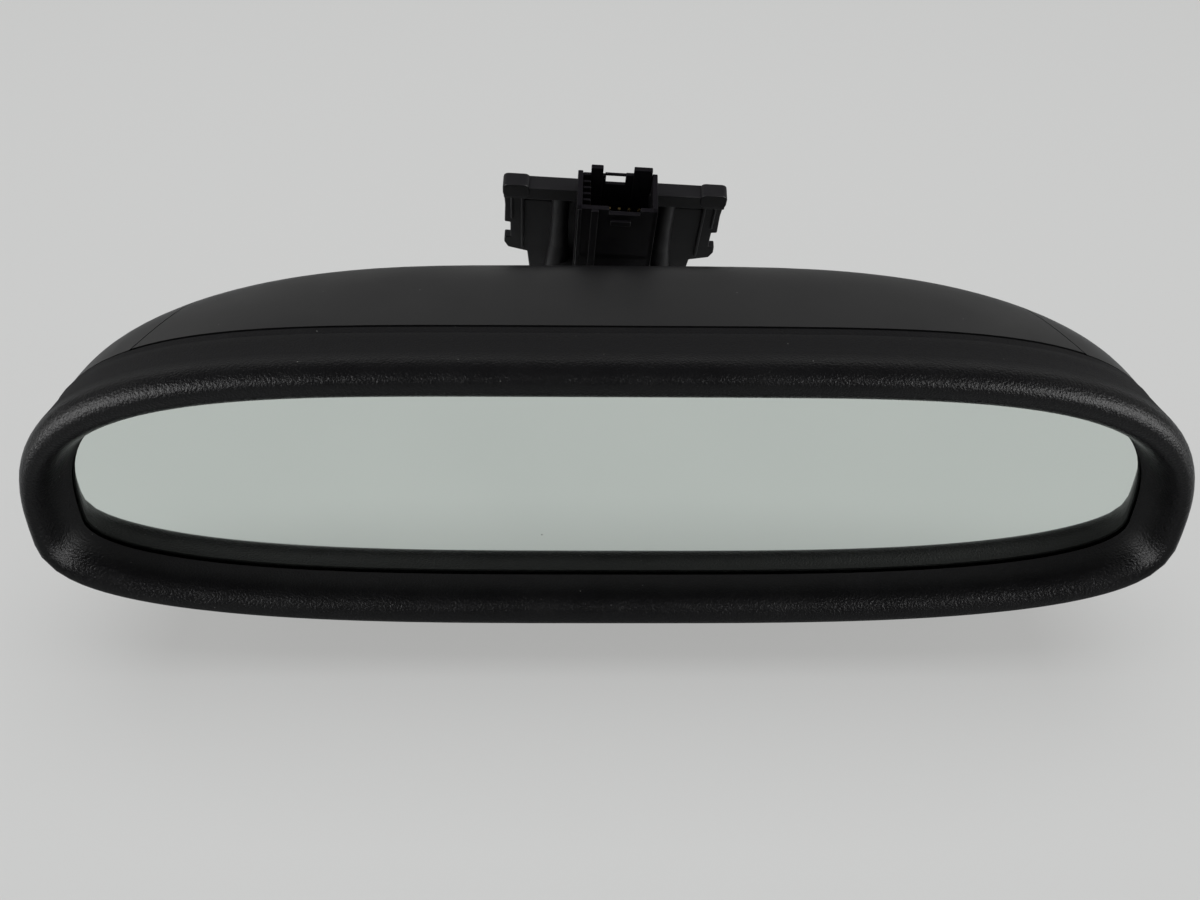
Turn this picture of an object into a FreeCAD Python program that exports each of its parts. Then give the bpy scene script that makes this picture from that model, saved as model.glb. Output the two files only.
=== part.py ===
import FreeCAD, Part
import Sketcher
import math
import os

from FreeCAD import Placement, Rotation, Vector

# Interior rearview mirror with an auto-dimming glass cell, on a ball arm and a windscreen foot.
# The origin is the middle of the foot's pad face on the windscreen. +X is to the driver's right,
# +Y is forwards, away from the driver, and +Z is up. All lengths are in millimetres.

document = FreeCAD.newDocument("rearview_mirror")
sheet = document.addObject("Spreadsheet::Sheet", "Sizes")

HEAD_RATIO = 1.9  # screw head radius over shank radius
BOSS_RATIO = 2.4  # screw boss radius over shank radius
SOCKET_RATIO = 0.85  # driver socket radius over shank radius

SIZES = {
    # mirror opening, measured in the plane of the glass from the centre line
    "opening_half_width": 118.5,
    "opening_top": 37.5,
    "opening_bottom": 16.1,
    # rim bead round the opening
    "rim_inner_round": 5.2,
    "rim_outer_round": 2.9,
    "rim_setback": 5.8,
    # housing behind the rim
    "housing_wall": 2.5,
    "rim_lip": 2.6,
    "rim_hollow_depth": 8.3,
    "parting_depth": 14.0,
    "parting_side_reach": 8.9,
    "parting_top_reach": 4.5,
    "parting_bottom_reach": 6.4,
    "housing_depth": 51.8,
    "tongue_length": 4.5,
    "tongue_wall": 1.6,
    "tongue_root": 2.0,
    "fit_gap": 0.3,
    # top cover
    "cover_front_inset": 22.6,
    "cover_rear_inset": 33.4,
    "cover_corner_depth": 40.0,
    "cover_middle_depth": 46.0,
    "cover_ledge": 3.5,
    "cover_gap": 0.35,
    # glass cell
    "glass_overlap": 3.0,
    "glass_thickness": 1.6,
    "cell_gap": 0.3,
    "seal_width": 2.4,
    "pad_thickness": 0.8,
    "carrier_thickness": 2.2,
    "pilot_floor": 0.8,
    "bus_clip_length": 150.0,
    "bus_clip_width": 3.0,
    "bus_clip_thickness": 0.25,
    # circuit board
    "board_left": 34.0,
    "board_right_inset": 16.5,
    "board_top_inset": 10.5,
    "board_bottom_inset": 8.1,
    "board_thickness": 1.6,
    "board_standoff": 3.6,
    "board_boss_radius": 3.0,
    "board_screw_inset": 4.5,
    "board_screw_radius": 1.25,
    "board_screw_grip": 2.6,
    "header_width": 11.0,
    "header_height": 6.0,
    "header_length": 7.0,
    "header_level": 8.0,
    "plug_reach": 3.0,
    "chip_side": 10.0,
    "chip_height": 1.6,
    "chip_offset": 38.0,
    "capacitor_radius": 2.5,
    "capacitor_height": 5.0,
    "capacitor_offset": 18.0,
    "capacitor_pitch": 7.5,
    "resistor_length": 3.2,
    "resistor_height": 1.1,
    "resistor_offset": 42.0,
    "resistor_pitch": 5.0,
    "coil_side": 8.0,
    "coil_height": 4.0,
    "coil_offset": 52.0,
    # sensors
    "ambient_lens_radius": 3.2,
    "ambient_x": 62.0,
    "ambient_z": 18.0,
    "sensor_chip_height": 1.4,
    "glare_x": 3.0,
    "glare_lens_width": 6.0,
    "glare_lens_length": 4.0,
    # ball joint in the head
    "ball_depth": 26.0,
    "ball_height": 4.4,
    "ball_radius": 8.5,
    "ball_flat": 5.5,
    "ball_mouth_radius": 4.9,
    "running_gap": 0.05,
    "seat_wall": 2.0,
    "rear_seat_near": 2.5,
    "rear_seat_far": 5.0,
    "front_seat_near": 2.0,
    "front_seat_far": 8.5,
    "housing_lip_radius": 8.5,
    "housing_lip_depth": 7.7,
    "pivot_wall": 2.4,
    "flange_radius": 22.0,
    "flange_thickness": 2.5,
    "pivot_screw_circle": 17.5,
    "pivot_screw_radius": 1.6,
    "pivot_screw_grip": 3.5,
    "spring_height": 3.3,
    "spring_thickness": 0.8,
    "spring_end_gap": 0.02,
    "spring_plate_thickness": 1.5,
    "arm_window_radius": 19.5,
    # arm
    "neck_radius": 4.0,
    "neck_length": 15.0,
    "arm_radius": 5.6,
    "wire_bore_radius": 2.4,
    "arm_reach": 27.0,
    "arm_bend_radius": 40.0,
    "arm_root": 14.5,
    "arm_flange_thickness": 4.0,
    "arm_flange_width": 27.0,
    "arm_flange_height": 20.0,
    "entry_bend": 6.0,
    "grommet_radius": 3.2,
    "grommet_seat": 6.0,
    "grommet_length": 2.5,
    "grommet_brim": 1.0,
    "grommet_boss_wall": 1.2,
    # attitude of the foot while the glass stands upright
    "foot_lean": 25.0,
    "foot_roll": 3.0,
    # mount foot
    "foot_width": 28.0,
    "foot_height": 34.0,
    "foot_thickness": 9.0,
    "channel_depth": 5.0,
    "channel_lip": 2.0,
    "channel_mouth_width": 16.0,
    "channel_width": 22.0,
    "channel_end": 9.0,
    "foot_spring_thickness": 0.6,
    "foot_screw_radius": 2.0,
    "foot_screw_x": 9.6,
    "foot_screw_head_radius": 3.4,
    "foot_screw_grip": 3.5,
    "screw_head_height": 2.2,
    "screw_hole_gap": 0.2,
    "foot_spring_width": 10.0,
    # bracket
    "bracket_plate": 2.5,
    "bracket_top": 38.0,
    "bracket_half_width": 24.0,
    "bracket_waist_half_width": 22.0,
    "bracket_waist_height": 8.0,
    "bracket_foot_half_width": 13.5,
    "bracket_foot_height": -21.0,
    "band_height": 3.2,
    "band_thickness": 1.4,
    "rib_level": 27.0,
    "rib_height": 1.8,
    "rib_reach": 5.0,
    "slot_height": 1.5,
    "slot_inner_x": 11.0,
    "slot_outer_x": 21.5,
    "column_x": 13.3,
    "column_radius": 2.8,
    "column_foot": 11.5,
    "skirt_reach": 4.6,
    "skirt_depth": 2.4,
    "skirt_wall": 1.8,
    "skirt_foot": 4.5,
    "notch_low": 11.8,
    "notch_high": 15.9,
    "notch_depth": 2.6,
    "lip_radius": 1.6,
    "lip_length": 7.0,
    # connector
    "connector_half_width": 9.9,
    "connector_depth": 12.5,
    "connector_wall": 1.3,
    "connector_foot": 13.0,
    "connector_floor": 27.0,
    "connector_front_top": 41.8,
    "connector_back_top": 43.4,
    "connector_post_top": 45.6,
    "connector_post_width": 3.0,
    "bridge_slot_height": 1.3,
    "bridge_slot_half_width": 2.4,
    "comb_rib": 0.7,
    "pin_size": 0.64,
    "pin_pitch": 2.5,
    "pin_row_spacing": 2.0,
    "pin_tail": 5.0,
    "pin_height": 9.0,
    "latch_width": 5.0,
    "latch_reach": 0.9,
    # wires
    "bundle_radius": 1.8,
    "wire_end_gap": 0.6,
    "gather_half_width": 7.0,
    "gather_height": 3.0,
    "plug_lead": 4.0,
    "wire_rise": 5.5,
}

for row, (alias, value) in enumerate(SIZES.items(), start=1):
    sheet.set(f"A{row}", alias)
    sheet.set(f"B{row}", str(value))
    sheet.setAlias(f"B{row}", alias)
document.recompute()


def size(alias):
    """Value of one cell of the sheet."""
    return float(sheet.get(alias))


def bind(item, expressions):
    """Tie properties of an object to cells, written as Sizes.name."""
    for path, text in expressions.items():
        item.setExpression(path, text)


def cells(text):
    """Write sheet names with their prefix: @name becomes Sizes.name."""
    return text.replace("@", "Sizes.")


AXIS_TURNS = {
    "x": Rotation(Vector(0, 1, 0), 90),
    "y": Rotation(Vector(1, 0, 0), -90),
    "z": Rotation(),
}


def place(item, at):
    """Bind the three coordinates of an object's base point."""
    for letter, text in zip("xyz", at):
        item.setExpression(f"Placement.Base.{letter}", cells(text))


def block(name, low, high):
    """Box between two corners, each given as three expressions."""
    item = document.addObject("Part::Box", name)
    for side, a, b in zip(("Length", "Width", "Height"), low, high):
        item.setExpression(side, cells(f"({b}) - ({a})"))
    place(item, low)
    return item


def rod(name, at, radius, length, axis="y"):
    """Cylinder from a base point along one axis."""
    item = document.addObject("Part::Cylinder", name)
    item.Placement.Rotation = AXIS_TURNS[axis]
    bind(item, {"Radius": cells(radius), "Height": cells(length)})
    place(item, at)
    return item


def cone(name, at, radius_base, radius_end, length, axis="y"):
    """Cone or taper from a base point along one axis."""
    item = document.addObject("Part::Cone", name)
    item.Placement.Rotation = AXIS_TURNS[axis]
    bind(item, {"Radius1": cells(radius_base), "Radius2": cells(radius_end), "Height": cells(length)})
    place(item, at)
    return item


def ball(name, at, radius):
    """Sphere about a point."""
    item = document.addObject("Part::Sphere", name)
    item.setExpression("Radius", cells(radius))
    place(item, at)
    return item


def fuse(name, parts):
    """Union of several objects."""
    item = document.addObject("Part::MultiFuse", name)
    item.Shapes = parts
    return item


def cut(name, base, tools):
    """Base with the tools taken away."""
    item = document.addObject("Part::Cut", name)
    item.Base = base
    item.Tool = tools[0] if len(tools) == 1 else fuse(name + "_tools", tools)
    return item


def common(name, base, tool):
    """What two objects share."""
    item = document.addObject("Part::Common", name)
    item.Base = base
    item.Tool = tool
    return item


def profile_sketch(body, plane, corners):
    """Closed sketch of straight lines on an origin plane; each corner is a pair of expressions."""
    sketch = body.newObject("Sketcher::SketchObject", body.Name + "_profile")
    planes = {item.Role: item for item in body.Origin.OriginFeatures}
    sketch.AttachmentSupport = [(planes[plane], "")]
    sketch.MapMode = "FlatFace"
    values = [tuple(sheet_value(text) for text in corner) for corner in corners]
    count = len(values)
    for index, start in enumerate(values):
        end = values[(index + 1) % count]
        sketch.addGeometry(Part.LineSegment(Vector(*start, 0), Vector(*end, 0)))
    for index in range(count):
        sketch.addConstraint(Sketcher.Constraint("Coincident", index, 2, (index + 1) % count, 1))
    for index, (across, along) in enumerate(corners):
        for kind, text, value in zip(("DistanceX", "DistanceY"), (across, along), values[index]):
            name = f"{kind}{index}"
            place_in = sketch.addConstraint(Sketcher.Constraint(kind, -1, 1, index, 1, value))
            sketch.renameConstraint(place_in, name)
            sketch.setExpression(f"Constraints.{name}", cells(text))
    return sketch


def sheet_value(text):
    """Number that an expression of sheet names gives, for a sketch's first drawing."""
    probe = document.addObject("App::FeaturePython", "probe")
    probe.addProperty("App::PropertyFloat", "Result")
    probe.setExpression("Result", cells(text))
    probe.recompute()
    result = probe.Result
    document.removeObject(probe.Name)
    return result


def turned(name, corners):
    """Body of revolution about its Y axis; corners are (radius, y) expressions."""
    body = document.addObject("PartDesign::Body", name)
    sketch = profile_sketch(body, "XY_Plane", corners)
    turn = body.newObject("PartDesign::Revolution", name + "_turn")
    turn.Profile = sketch
    turn.ReferenceAxis = (sketch, ["V_Axis"])
    turn.Angle = 360
    return body


def padded(name, plane, corners, length, reverse=False):
    """Body padded from a straight-sided sketch."""
    body = document.addObject("PartDesign::Body", name)
    sketch = profile_sketch(body, plane, corners)
    pad = body.newObject("PartDesign::Pad", name + "_pad")
    pad.Profile = sketch
    pad.Reversed = reverse
    pad.setExpression("Length", cells(length))
    return body


subparts = {}


def keep(item, node, placement):
    """Name a finished sub-part and put it in its place; a bare box is wrapped to keep its own place."""
    if item.TypeId == "Part::Box":
        wrapper = document.addObject("Part::Compound", node + "_piece")
        wrapper.Links = [item]
        item.Label = node + "_box"
        item = wrapper
    item.Label = node
    item.Placement = placement
    subparts[node] = item
    return item


# ---------------------------------------------------------------- places

lean = math.radians(size("foot_lean"))
mount_turn = Rotation(Vector(0, 1, 0), size("foot_roll")) * Rotation(Vector(1, 0, 0), size("foot_lean"))
mount_frame = Placement(Vector(), mount_turn)

# The arm leaves the foot square to it, bends level and ends in the ball.
arm_start = size("foot_thickness") + size("bracket_plate") + size("arm_flange_thickness")
bend_start = arm_start + size("arm_root")
bend_across = size("arm_bend_radius") * math.sin(lean)
bend_rise = size("arm_bend_radius") * (1 - math.cos(lean))
ball_level = Vector(
    0,
    -bend_start * math.cos(lean) - bend_across - size("arm_reach"),
    -bend_start * math.sin(lean) - bend_rise,
)
ball_centre = Rotation(Vector(0, 1, 0), size("foot_roll")).multVec(ball_level)
head_frame = Placement(ball_centre - Vector(0, size("ball_depth"), size("ball_height")), Rotation())
ball_frame = Placement(ball_centre, Rotation())


# ---------------------------------------------------------------- head housing

# Powers of the outlines across and up, above and below the widest line.
UPPER_POWERS = (4.83, 2.94)
LOWER_POWERS = (3.33, 2.15)
QUARTER_STEPS = 8
CROWN_SPACING = 1.5  # draws the points together towards the top and the bottom of an outline
OUTLINE_SIDES = ((1, 1), (-1, 1), (-1, -1), (1, -1))


def oval(name, half_width, top, bottom, y):
    """Closed outline: a superellipse above and below the widest line, in a plane across Y."""
    upright = Vector(0, 0, 1)
    across = Vector(-1, 0, 0)
    headings = (upright, across, -upright, -across, upright)
    quarters = []
    for quarter, (side, rise) in enumerate(OUTLINE_SIDES):
        across_power, up_power = UPPER_POWERS if rise > 0 else LOWER_POWERS
        reach = top if rise > 0 else bottom
        points = []
        for step in range(QUARTER_STEPS + 1):
            share = step / QUARTER_STEPS if quarter % 2 == 0 else 1 - step / QUARTER_STEPS
            angle = math.pi / 2 * (1 - (1 - share) ** CROWN_SPACING)
            cosine = 0.0 if share == 1 else math.cos(angle)
            x = side * half_width * cosine ** (2 / across_power)
            z = rise * reach * math.sin(angle) ** (2 / up_power)
            points.append(Vector(x, y, z))
        curve = Part.BSplineCurve()
        inner = QUARTER_STEPS - 1
        curve.interpolate(
            Points=points,
            Tangents=[headings[quarter], *[Vector()] * inner, headings[quarter + 1]],
            TangentFlags=[True, *[False] * inner, True],
            Scale=False,
        )
        quarters.append(curve.toShape())
    outline = document.addObject("Part::Feature", name)
    outline.Shape = Part.Wire(quarters)
    return outline


def opening_oval(name, grow, y):
    """Outline of the mirror opening, grown outwards."""
    return oval(
        name,
        size("opening_half_width") + grow,
        size("opening_top") + grow,
        size("opening_bottom") + grow,
        y,
    )


def loft(name, sections):
    """Solid skinned smoothly over a row of outlines."""
    item = document.addObject("Part::Loft", name)
    item.Sections = sections
    item.Solid = True
    item.Ruled = False
    return item


def plate(name, outline, thickness):
    """Flat piece with a curved outline, thickened towards +Y."""
    item = document.addObject("Part::Extrusion", name)
    item.Base = outline
    item.DirMode = "Custom"
    item.Dir = Vector(0, 1, 0)
    item.Solid = True
    item.setExpression("LengthFwd", cells(thickness))
    return item


rim_centre = size("rim_inner_round")
rim_edge = rim_centre + size("rim_outer_round")
setback = size("rim_setback")
wall = size("housing_wall")
parting = size("parting_depth")
opening_reaches = (size("opening_half_width"), size("opening_top"), size("opening_bottom"))
parting_reaches = (
    size("opening_half_width") + size("parting_side_reach"),
    size("opening_top") + size("parting_top_reach"),
    size("opening_bottom") + size("parting_bottom_reach"),
)

PLAN_POWER = 4.56  # how late and how quickly the housing narrows towards its back
PLAN_ROOT = 0.4
CROWN_RISE = 0.015  # gentle rise of the top towards the back, then its drop round the rear edge
CROWN_DROP = 0.25
CROWN_DROP_POWER = 10
BELLY_RISE = 0.75  # how far the underside rises towards the back
BELLY_POWER = 1.7


def shell_section(name, y, inset=0.0):
    """Outline of the housing behind the parting line: narrower and lower towards its back."""
    back = size("housing_depth")
    share = (y - parting) / (back - parting)
    full = 1 - (parting / back) ** PLAN_POWER
    narrowing = ((1 - (y / back) ** PLAN_POWER) / full) ** PLAN_ROOT
    half_width, top, bottom = parting_reaches
    crown = 1 + CROWN_RISE * share - CROWN_DROP * share ** CROWN_DROP_POWER
    belly = 1 - BELLY_RISE * share ** BELLY_POWER
    return oval(name, half_width * narrowing - inset, top * crown - inset, bottom * belly - inset, y)


def bezel_section(name, y, inset=0.0):
    """Outline of the bezel between the rim's widest place and the parting line."""
    share = (y + setback) / (parting + setback)
    half_width, top, bottom = (
        (front + rim_edge) * (1 - share) + back * share - inset
        for front, back in zip(opening_reaches, parting_reaches)
    )
    return oval(name, half_width, top, bottom, y)


ROUND_ANGLES = (25, 50, 75)

outer_sections = [bezel_section(f"bezel_outer_{index}", parting - (parting + setback) * index / 4)
                  for index in range(5)]
for angle in ROUND_ANGLES:
    turn = math.radians(angle)
    outer_sections.append(opening_oval(
        f"rim_outer_{angle}",
        rim_centre + size("rim_outer_round") * math.cos(turn),
        -setback - size("rim_inner_round") * math.sin(turn),
    ))
bezel_outer = loft("bezel_outer", outer_sections)

rim_front = setback + size("rim_inner_round") * math.sin(math.radians(ROUND_ANGLES[-1]))
hole_sections = [opening_oval("hole_back", 0, 1.0), opening_oval("hole_throat", 0, -setback)]
for angle in ROUND_ANGLES:
    turn = math.radians(angle)
    hole_sections.append(opening_oval(
        f"rim_inner_{angle}",
        rim_centre - size("rim_inner_round") * math.cos(turn),
        -setback - size("rim_inner_round") * math.sin(turn),
    ))
hole_sections.append(opening_oval("hole_front", rim_centre - 0.4, -rim_front - 0.8))
bezel_hole = loft("bezel_hole", hole_sections)

glass_grow = size("glass_overlap")
cell_thickness = 2 * size("glass_thickness") + size("cell_gap")
carrier_front = cell_thickness + size("pad_thickness")
carrier_back = carrier_front + size("carrier_thickness")

bezel_inside = loft("bezel_inside", [
    opening_oval("bezel_inside_front", rim_edge - wall, -size("rim_hollow_depth")),
    *[bezel_section(f"bezel_inside_{index}", parting - (parting + setback) * (4 - index) / 4, wall)
      for index in range(5)],
])
rim_lip_keep = plate(
    "rim_lip_keep", opening_oval("rim_lip_outline", size("rim_lip"), -size("rim_hollow_depth") - 1),
    "@rim_hollow_depth + 1",
)
bezel_hollow = cut("bezel_hollow", bezel_inside, [rim_lip_keep])

# Pocket in the lower ledge for the glare sensor's window.
glare_low = "-@opening_bottom - @rim_lip"
glare_pocket = block(
    "glare_pocket",
    (f"@glare_x - @glare_lens_width / 2", "-1 - @glare_lens_length", glare_low),
    (f"@glare_x + @glare_lens_width / 2", "-1", "-@opening_bottom + 1"),
)
keep(
    cut("front_bezel", cut("bezel_shell", bezel_outer, [bezel_hollow]), [bezel_hole, glare_pocket]),
    "front_bezel", head_frame,
)

# Rear shell: a lofted skin with a tongue inside the bezel and a window for the arm.
back_depths = [parting + (size("housing_depth") - parting) * share
               for share in (0, 0.2, 0.42, 0.64, 0.82, 0.93, 0.98)]
shell_outer = loft("shell_outer", [
    shell_section(f"shell_outer_{index}", y) for index, y in enumerate(back_depths)
])
inner_scale = (back_depths[-1] - wall - parting) / (back_depths[-1] - parting)
shell_inner = loft("shell_inner", [
    shell_section(f"shell_inner_{index}", parting + (y - parting) * inner_scale, wall)
    for index, y in enumerate(back_depths)
])
tongue_outline = bezel_section("tongue_outline", parting, wall + size("fit_gap"))
tongue_inset = wall + size("fit_gap") + size("tongue_wall")
tongue_bore_outline = bezel_section("tongue_bore_outline", parting, tongue_inset)
for outline in (tongue_outline, tongue_bore_outline):
    outline.Placement.Base.y = -size("tongue_length")
tongue = cut("tongue", plate("tongue_solid", tongue_outline, "@tongue_length + @tongue_root"),
             [plate("tongue_bore", tongue_bore_outline, "@tongue_length + @tongue_root")])
root_outline = shell_section("tongue_root_outline", parting, wall / 2)
root_bore_outline = shell_section("tongue_root_bore_outline", parting, tongue_inset)
tongue_root = cut("tongue_root", plate("tongue_root_solid", root_outline, "@tongue_root"),
                  [plate("tongue_root_bore", root_bore_outline, "@tongue_root")])

# Top cover: the part of the skin over a tapered plan shape, on a ledge left in the shell.
COVER_FLOOR = 20.0
COVER_CEILING = 60.0


def cover_plan(name, grow, floor):
    """Upright prism with the cover's plan outline: two diagonal sides and a bowed rear edge."""
    front = parting - 1 if grow >= 0 else parting - grow
    corner_y = size("cover_corner_depth")
    front_x = parting_reaches[0] - size("cover_front_inset") + grow
    rear_x = parting_reaches[0] - size("cover_rear_inset") + grow
    middle_y = size("cover_middle_depth") + grow
    left_front = Vector(-front_x, front, floor)
    right_front = Vector(front_x, front, floor)
    left_rear = Vector(-rear_x, corner_y, floor)
    right_rear = Vector(rear_x, corner_y, floor)
    edges = [
        Part.LineSegment(left_front, right_front).toShape(),
        Part.LineSegment(right_front, right_rear).toShape(),
        Part.Arc(right_rear, Vector(0, middle_y, floor), left_rear).toShape(),
        Part.LineSegment(left_rear, left_front).toShape(),
    ]
    prism = document.addObject("Part::Feature", name)
    prism.Shape = Part.Face(Part.Wire(edges)).extrude(Vector(0, 0, COVER_CEILING - floor))
    return prism


ledge_inner = loft("ledge_inner", [
    shell_section(f"ledge_inner_{index}", parting + (y - parting) * inner_scale, 2 * wall)
    for index, y in enumerate(back_depths)
])
ledge_band = cut("ledge_band", shell_inner, [ledge_inner])
ledge_floor = COVER_FLOOR - size("cover_ledge")
cover_frame = cut("cover_frame", cover_plan("cover_frame_outer", size("cover_ledge"), ledge_floor),
                  [cover_plan("cover_frame_inner", -size("cover_ledge"), ledge_floor)])
cover_ledge = common("cover_ledge", ledge_band, cover_frame)
arm_window = rod("arm_window", ("0", "@ball_depth", "@ball_height"), "@arm_window_radius", "60")
ambient_hole = rod("ambient_hole", ("@ambient_x", "@ball_depth", "@ambient_z"),
                   "@ambient_lens_radius + @fit_gap", "60")
cover_room = cover_plan("cover_room", size("cover_gap"), COVER_FLOOR)
shell_solid = fuse("shell_solid", [
    cut("shell_skin", cut("shell_less_cover", shell_outer, [cover_room]), [shell_inner]),
    cut("tongue_root_trimmed", tongue_root, [cover_room]), cover_ledge, tongue,
])
keep(cut("rear_shell", shell_solid, [arm_window, ambient_hole]), "rear_shell", head_frame)
cover_solid = common("cover_solid", shell_outer, cover_plan("cover_outline", 0.0, COVER_FLOOR))
cover_body = cut("cover_body", cover_solid, [shell_inner])
cover_trim = block("cover_trim", ("-@opening_half_width", "-50", "0"),
                   ("@opening_half_width", "@parting_depth + @cover_gap", "80"))
keep(cut("top_cover", cover_body, [cover_trim]), "top_cover", head_frame)


# ---------------------------------------------------------------- glass cell

glass_back_front = size("glass_thickness") + size("cell_gap")
glass_outline = opening_oval("glass_outline", glass_grow, 0)
keep(plate("front_glass", glass_outline, "@glass_thickness"), "front_glass", head_frame)

seal_y = size("glass_thickness")
seal_outline = opening_oval("seal_outline", glass_grow, seal_y)
gel_grow = glass_grow - size("seal_width")
gel_outline = opening_oval("gel_outline", gel_grow, seal_y)
seal_sheet = plate("seal_sheet", seal_outline, "@cell_gap")
seal_opening = plate("seal_opening", gel_outline, "@cell_gap")
keep(cut("edge_seal", seal_sheet, [seal_opening]), "edge_seal", head_frame)
keep(plate("gel_layer", gel_outline, "@cell_gap"), "gel_layer", head_frame)
rear_glass_outline = opening_oval("rear_glass_outline", glass_grow, glass_back_front)
keep(plate("rear_glass", rear_glass_outline, "@glass_thickness"), "rear_glass", head_frame)

# Contact clips: thin metal angles hooked over the long edges of the cell.
clip_inner = glass_grow + size("running_gap")
clip_outer = clip_inner + size("bus_clip_thickness")
clip_depth = "@cell_gap + @glass_thickness"


def clip_band(name, inner_grow, y, depth):
    """Ring of strip metal from the clip's outer face inwards."""
    outer = plate(name + "_outer", opening_oval(name + "_outline", clip_outer, y), depth)
    bore = plate(name + "_bore", opening_oval(name + "_bore_outline", inner_grow, y), depth)
    return cut(name, outer, [bore])


clip_ring = fuse("clip_ring", [
    clip_band("clip_web", clip_inner, seal_y, clip_depth),
    clip_band("clip_leg", clip_outer - size("bus_clip_width"), cell_thickness, "@bus_clip_thickness"),
])
clip_half = "@bus_clip_length / 2"
for node, low, high in (("bus_clip_top", "10", "60"), ("bus_clip_bottom", "-60", "-10")):
    reach = block(node + "_reach", (f"-{clip_half}", "-5", low), (clip_half, "20", high))
    keep(common(node, clip_ring, reach), node, head_frame)

# Foam pad and carrier plate; the pad stops short of the contact clips.
pad_outline = opening_oval("pad_outline", -1.5, cell_thickness)
keep(plate("adhesive_pad", pad_outline, "@pad_thickness"), "adhesive_pad", head_frame)
carrier_outline = bezel_section("carrier_outline", carrier_back, wall + size("fit_gap"))
carrier_outline.Placement.Base.y = -size("carrier_thickness")
carrier_y = str(carrier_front)
boss_circle = "@pivot_screw_circle * sqrt(0.5)"
flange_front = "@ball_depth - @front_seat_far - @spring_height"
plate_front = f"({flange_front} - @spring_plate_thickness)"
carrier_parts = [plate("carrier_plate", carrier_outline, "@carrier_thickness")]
PIVOT_CORNERS = ((1, 1), (-1, 1), (-1, -1), (1, -1))
for index, (right, up) in enumerate(PIVOT_CORNERS):
    carrier_parts.append(rod(
        f"pivot_boss_{index}",
        (f"{right} * {boss_circle}", carrier_y, f"@ball_height + {up} * {boss_circle}"),
        f"@pivot_screw_radius * {BOSS_RATIO}", f"{plate_front} - {carrier_y}",
    ))
board_right = "(@opening_half_width - @board_right_inset)"
board_high = "(@opening_top - @board_top_inset)"
board_low = "(@board_bottom_inset - @opening_bottom)"
board_corners = [
    (f"{x}", f"{z}")
    for x in ("(@board_left + @board_screw_inset)", f"({board_right} - @board_screw_inset)")
    for z in (f"({board_low} + @board_screw_inset)", f"({board_high} - @board_screw_inset)")
]
board_front = f"({carrier_y} + @carrier_thickness + @board_standoff)"
for index, (x, z) in enumerate(board_corners):
    carrier_parts.append(rod(f"board_boss_{index}", (x, carrier_y, z), "@board_boss_radius",
                             f"{board_front} - {carrier_y}"))
pilot_start = f"{carrier_y} + @pilot_floor"
carrier_holes = []
for index, (right, up) in enumerate(PIVOT_CORNERS):
    carrier_holes.append(rod(
        f"pivot_pilot_{index}",
        (f"{right} * {boss_circle}", pilot_start, f"@ball_height + {up} * {boss_circle}"),
        "@pivot_screw_radius", f"{plate_front} - {carrier_y}",
    ))
for index, (x, z) in enumerate(board_corners):
    carrier_holes.append(rod(f"board_pilot_{index}", (x, pilot_start, z), "@board_screw_radius",
                             f"{board_front} - {carrier_y}"))
keep(cut("glass_carrier", fuse("carrier_solid", carrier_parts), carrier_holes),
                     "glass_carrier", head_frame)


# ---------------------------------------------------------------- circuit board

board_back = f"({board_front} + @board_thickness)"
board_blank = block("board_blank", ("@board_left", board_front, board_low),
                    (board_right, board_back, board_high))
board_holes = [
    rod(f"board_hole_{index}", (x, board_front, z), "@board_screw_radius + @screw_hole_gap",
        "@board_thickness")
    for index, (x, z) in enumerate(board_corners)
]
keep(cut("circuit_board", board_blank, board_holes), "circuit_board", head_frame)

board_screws = []
for index, (x, z) in enumerate(board_corners):
    board_screws.append(fuse(f"board_screw_{index}", [
        rod(f"board_shank_{index}", (x, f"{board_front} - @board_screw_grip", z), "@board_screw_radius",
            "@board_thickness + @board_screw_grip"),
        rod(f"board_head_{index}", (x, board_back, z), f"@board_screw_radius * {HEAD_RATIO}", "1.5"),
    ]))
board_screws_all = document.addObject("Part::Compound", "board_screws")
board_screws_all.Links = board_screws
keep(board_screws_all, "board_screws", head_frame)

board_middle = f"(({board_low} + {board_high}) / 2)"
chip_x = "(@board_left + @chip_offset)"
controller = block("controller_chip", (f"{chip_x} - @chip_side / 2", board_back, board_middle),
                   (f"{chip_x} + @chip_side / 2", f"{board_back} + @chip_height",
                    f"{board_middle} + @chip_side"))
keep(controller, "controller_chip", head_frame)
small_parts = []
capacitor_z = f"({board_low} + @board_screw_inset + @capacitor_radius)"
for index in range(3):
    x = f"@board_left + @capacitor_offset + {index} * @capacitor_pitch"
    small_parts.append(rod(f"capacitor_{index}", (x, board_back, capacitor_z), "@capacitor_radius",
                           "@capacitor_height"))
for index in range(4):
    x = f"(@board_left + @resistor_offset + {index} * @resistor_pitch)"
    small_parts.append(block(f"resistor_{index}", (x, board_back, capacitor_z),
                             (f"{x} + @resistor_length", f"{board_back} + @resistor_height",
                              f"{capacitor_z} + @resistor_length")))
coil_x = "(@board_left + @coil_offset)"
small_parts.append(block("coil", (coil_x, board_back, f"{board_middle} - @coil_side / 2"),
                         (f"{coil_x} + @coil_side", f"{board_back} + @coil_height",
                          f"{board_middle} + @coil_side / 2")))
board_parts = document.addObject("Part::Compound", "board_parts")
board_parts.Links = small_parts
keep(board_parts, "board_parts", head_frame)

# Wire header on the board's edge nearest the ball, mouth towards the ball.
header_low_x = "(@board_left + 1)"
header_z = "@header_level"


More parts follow.
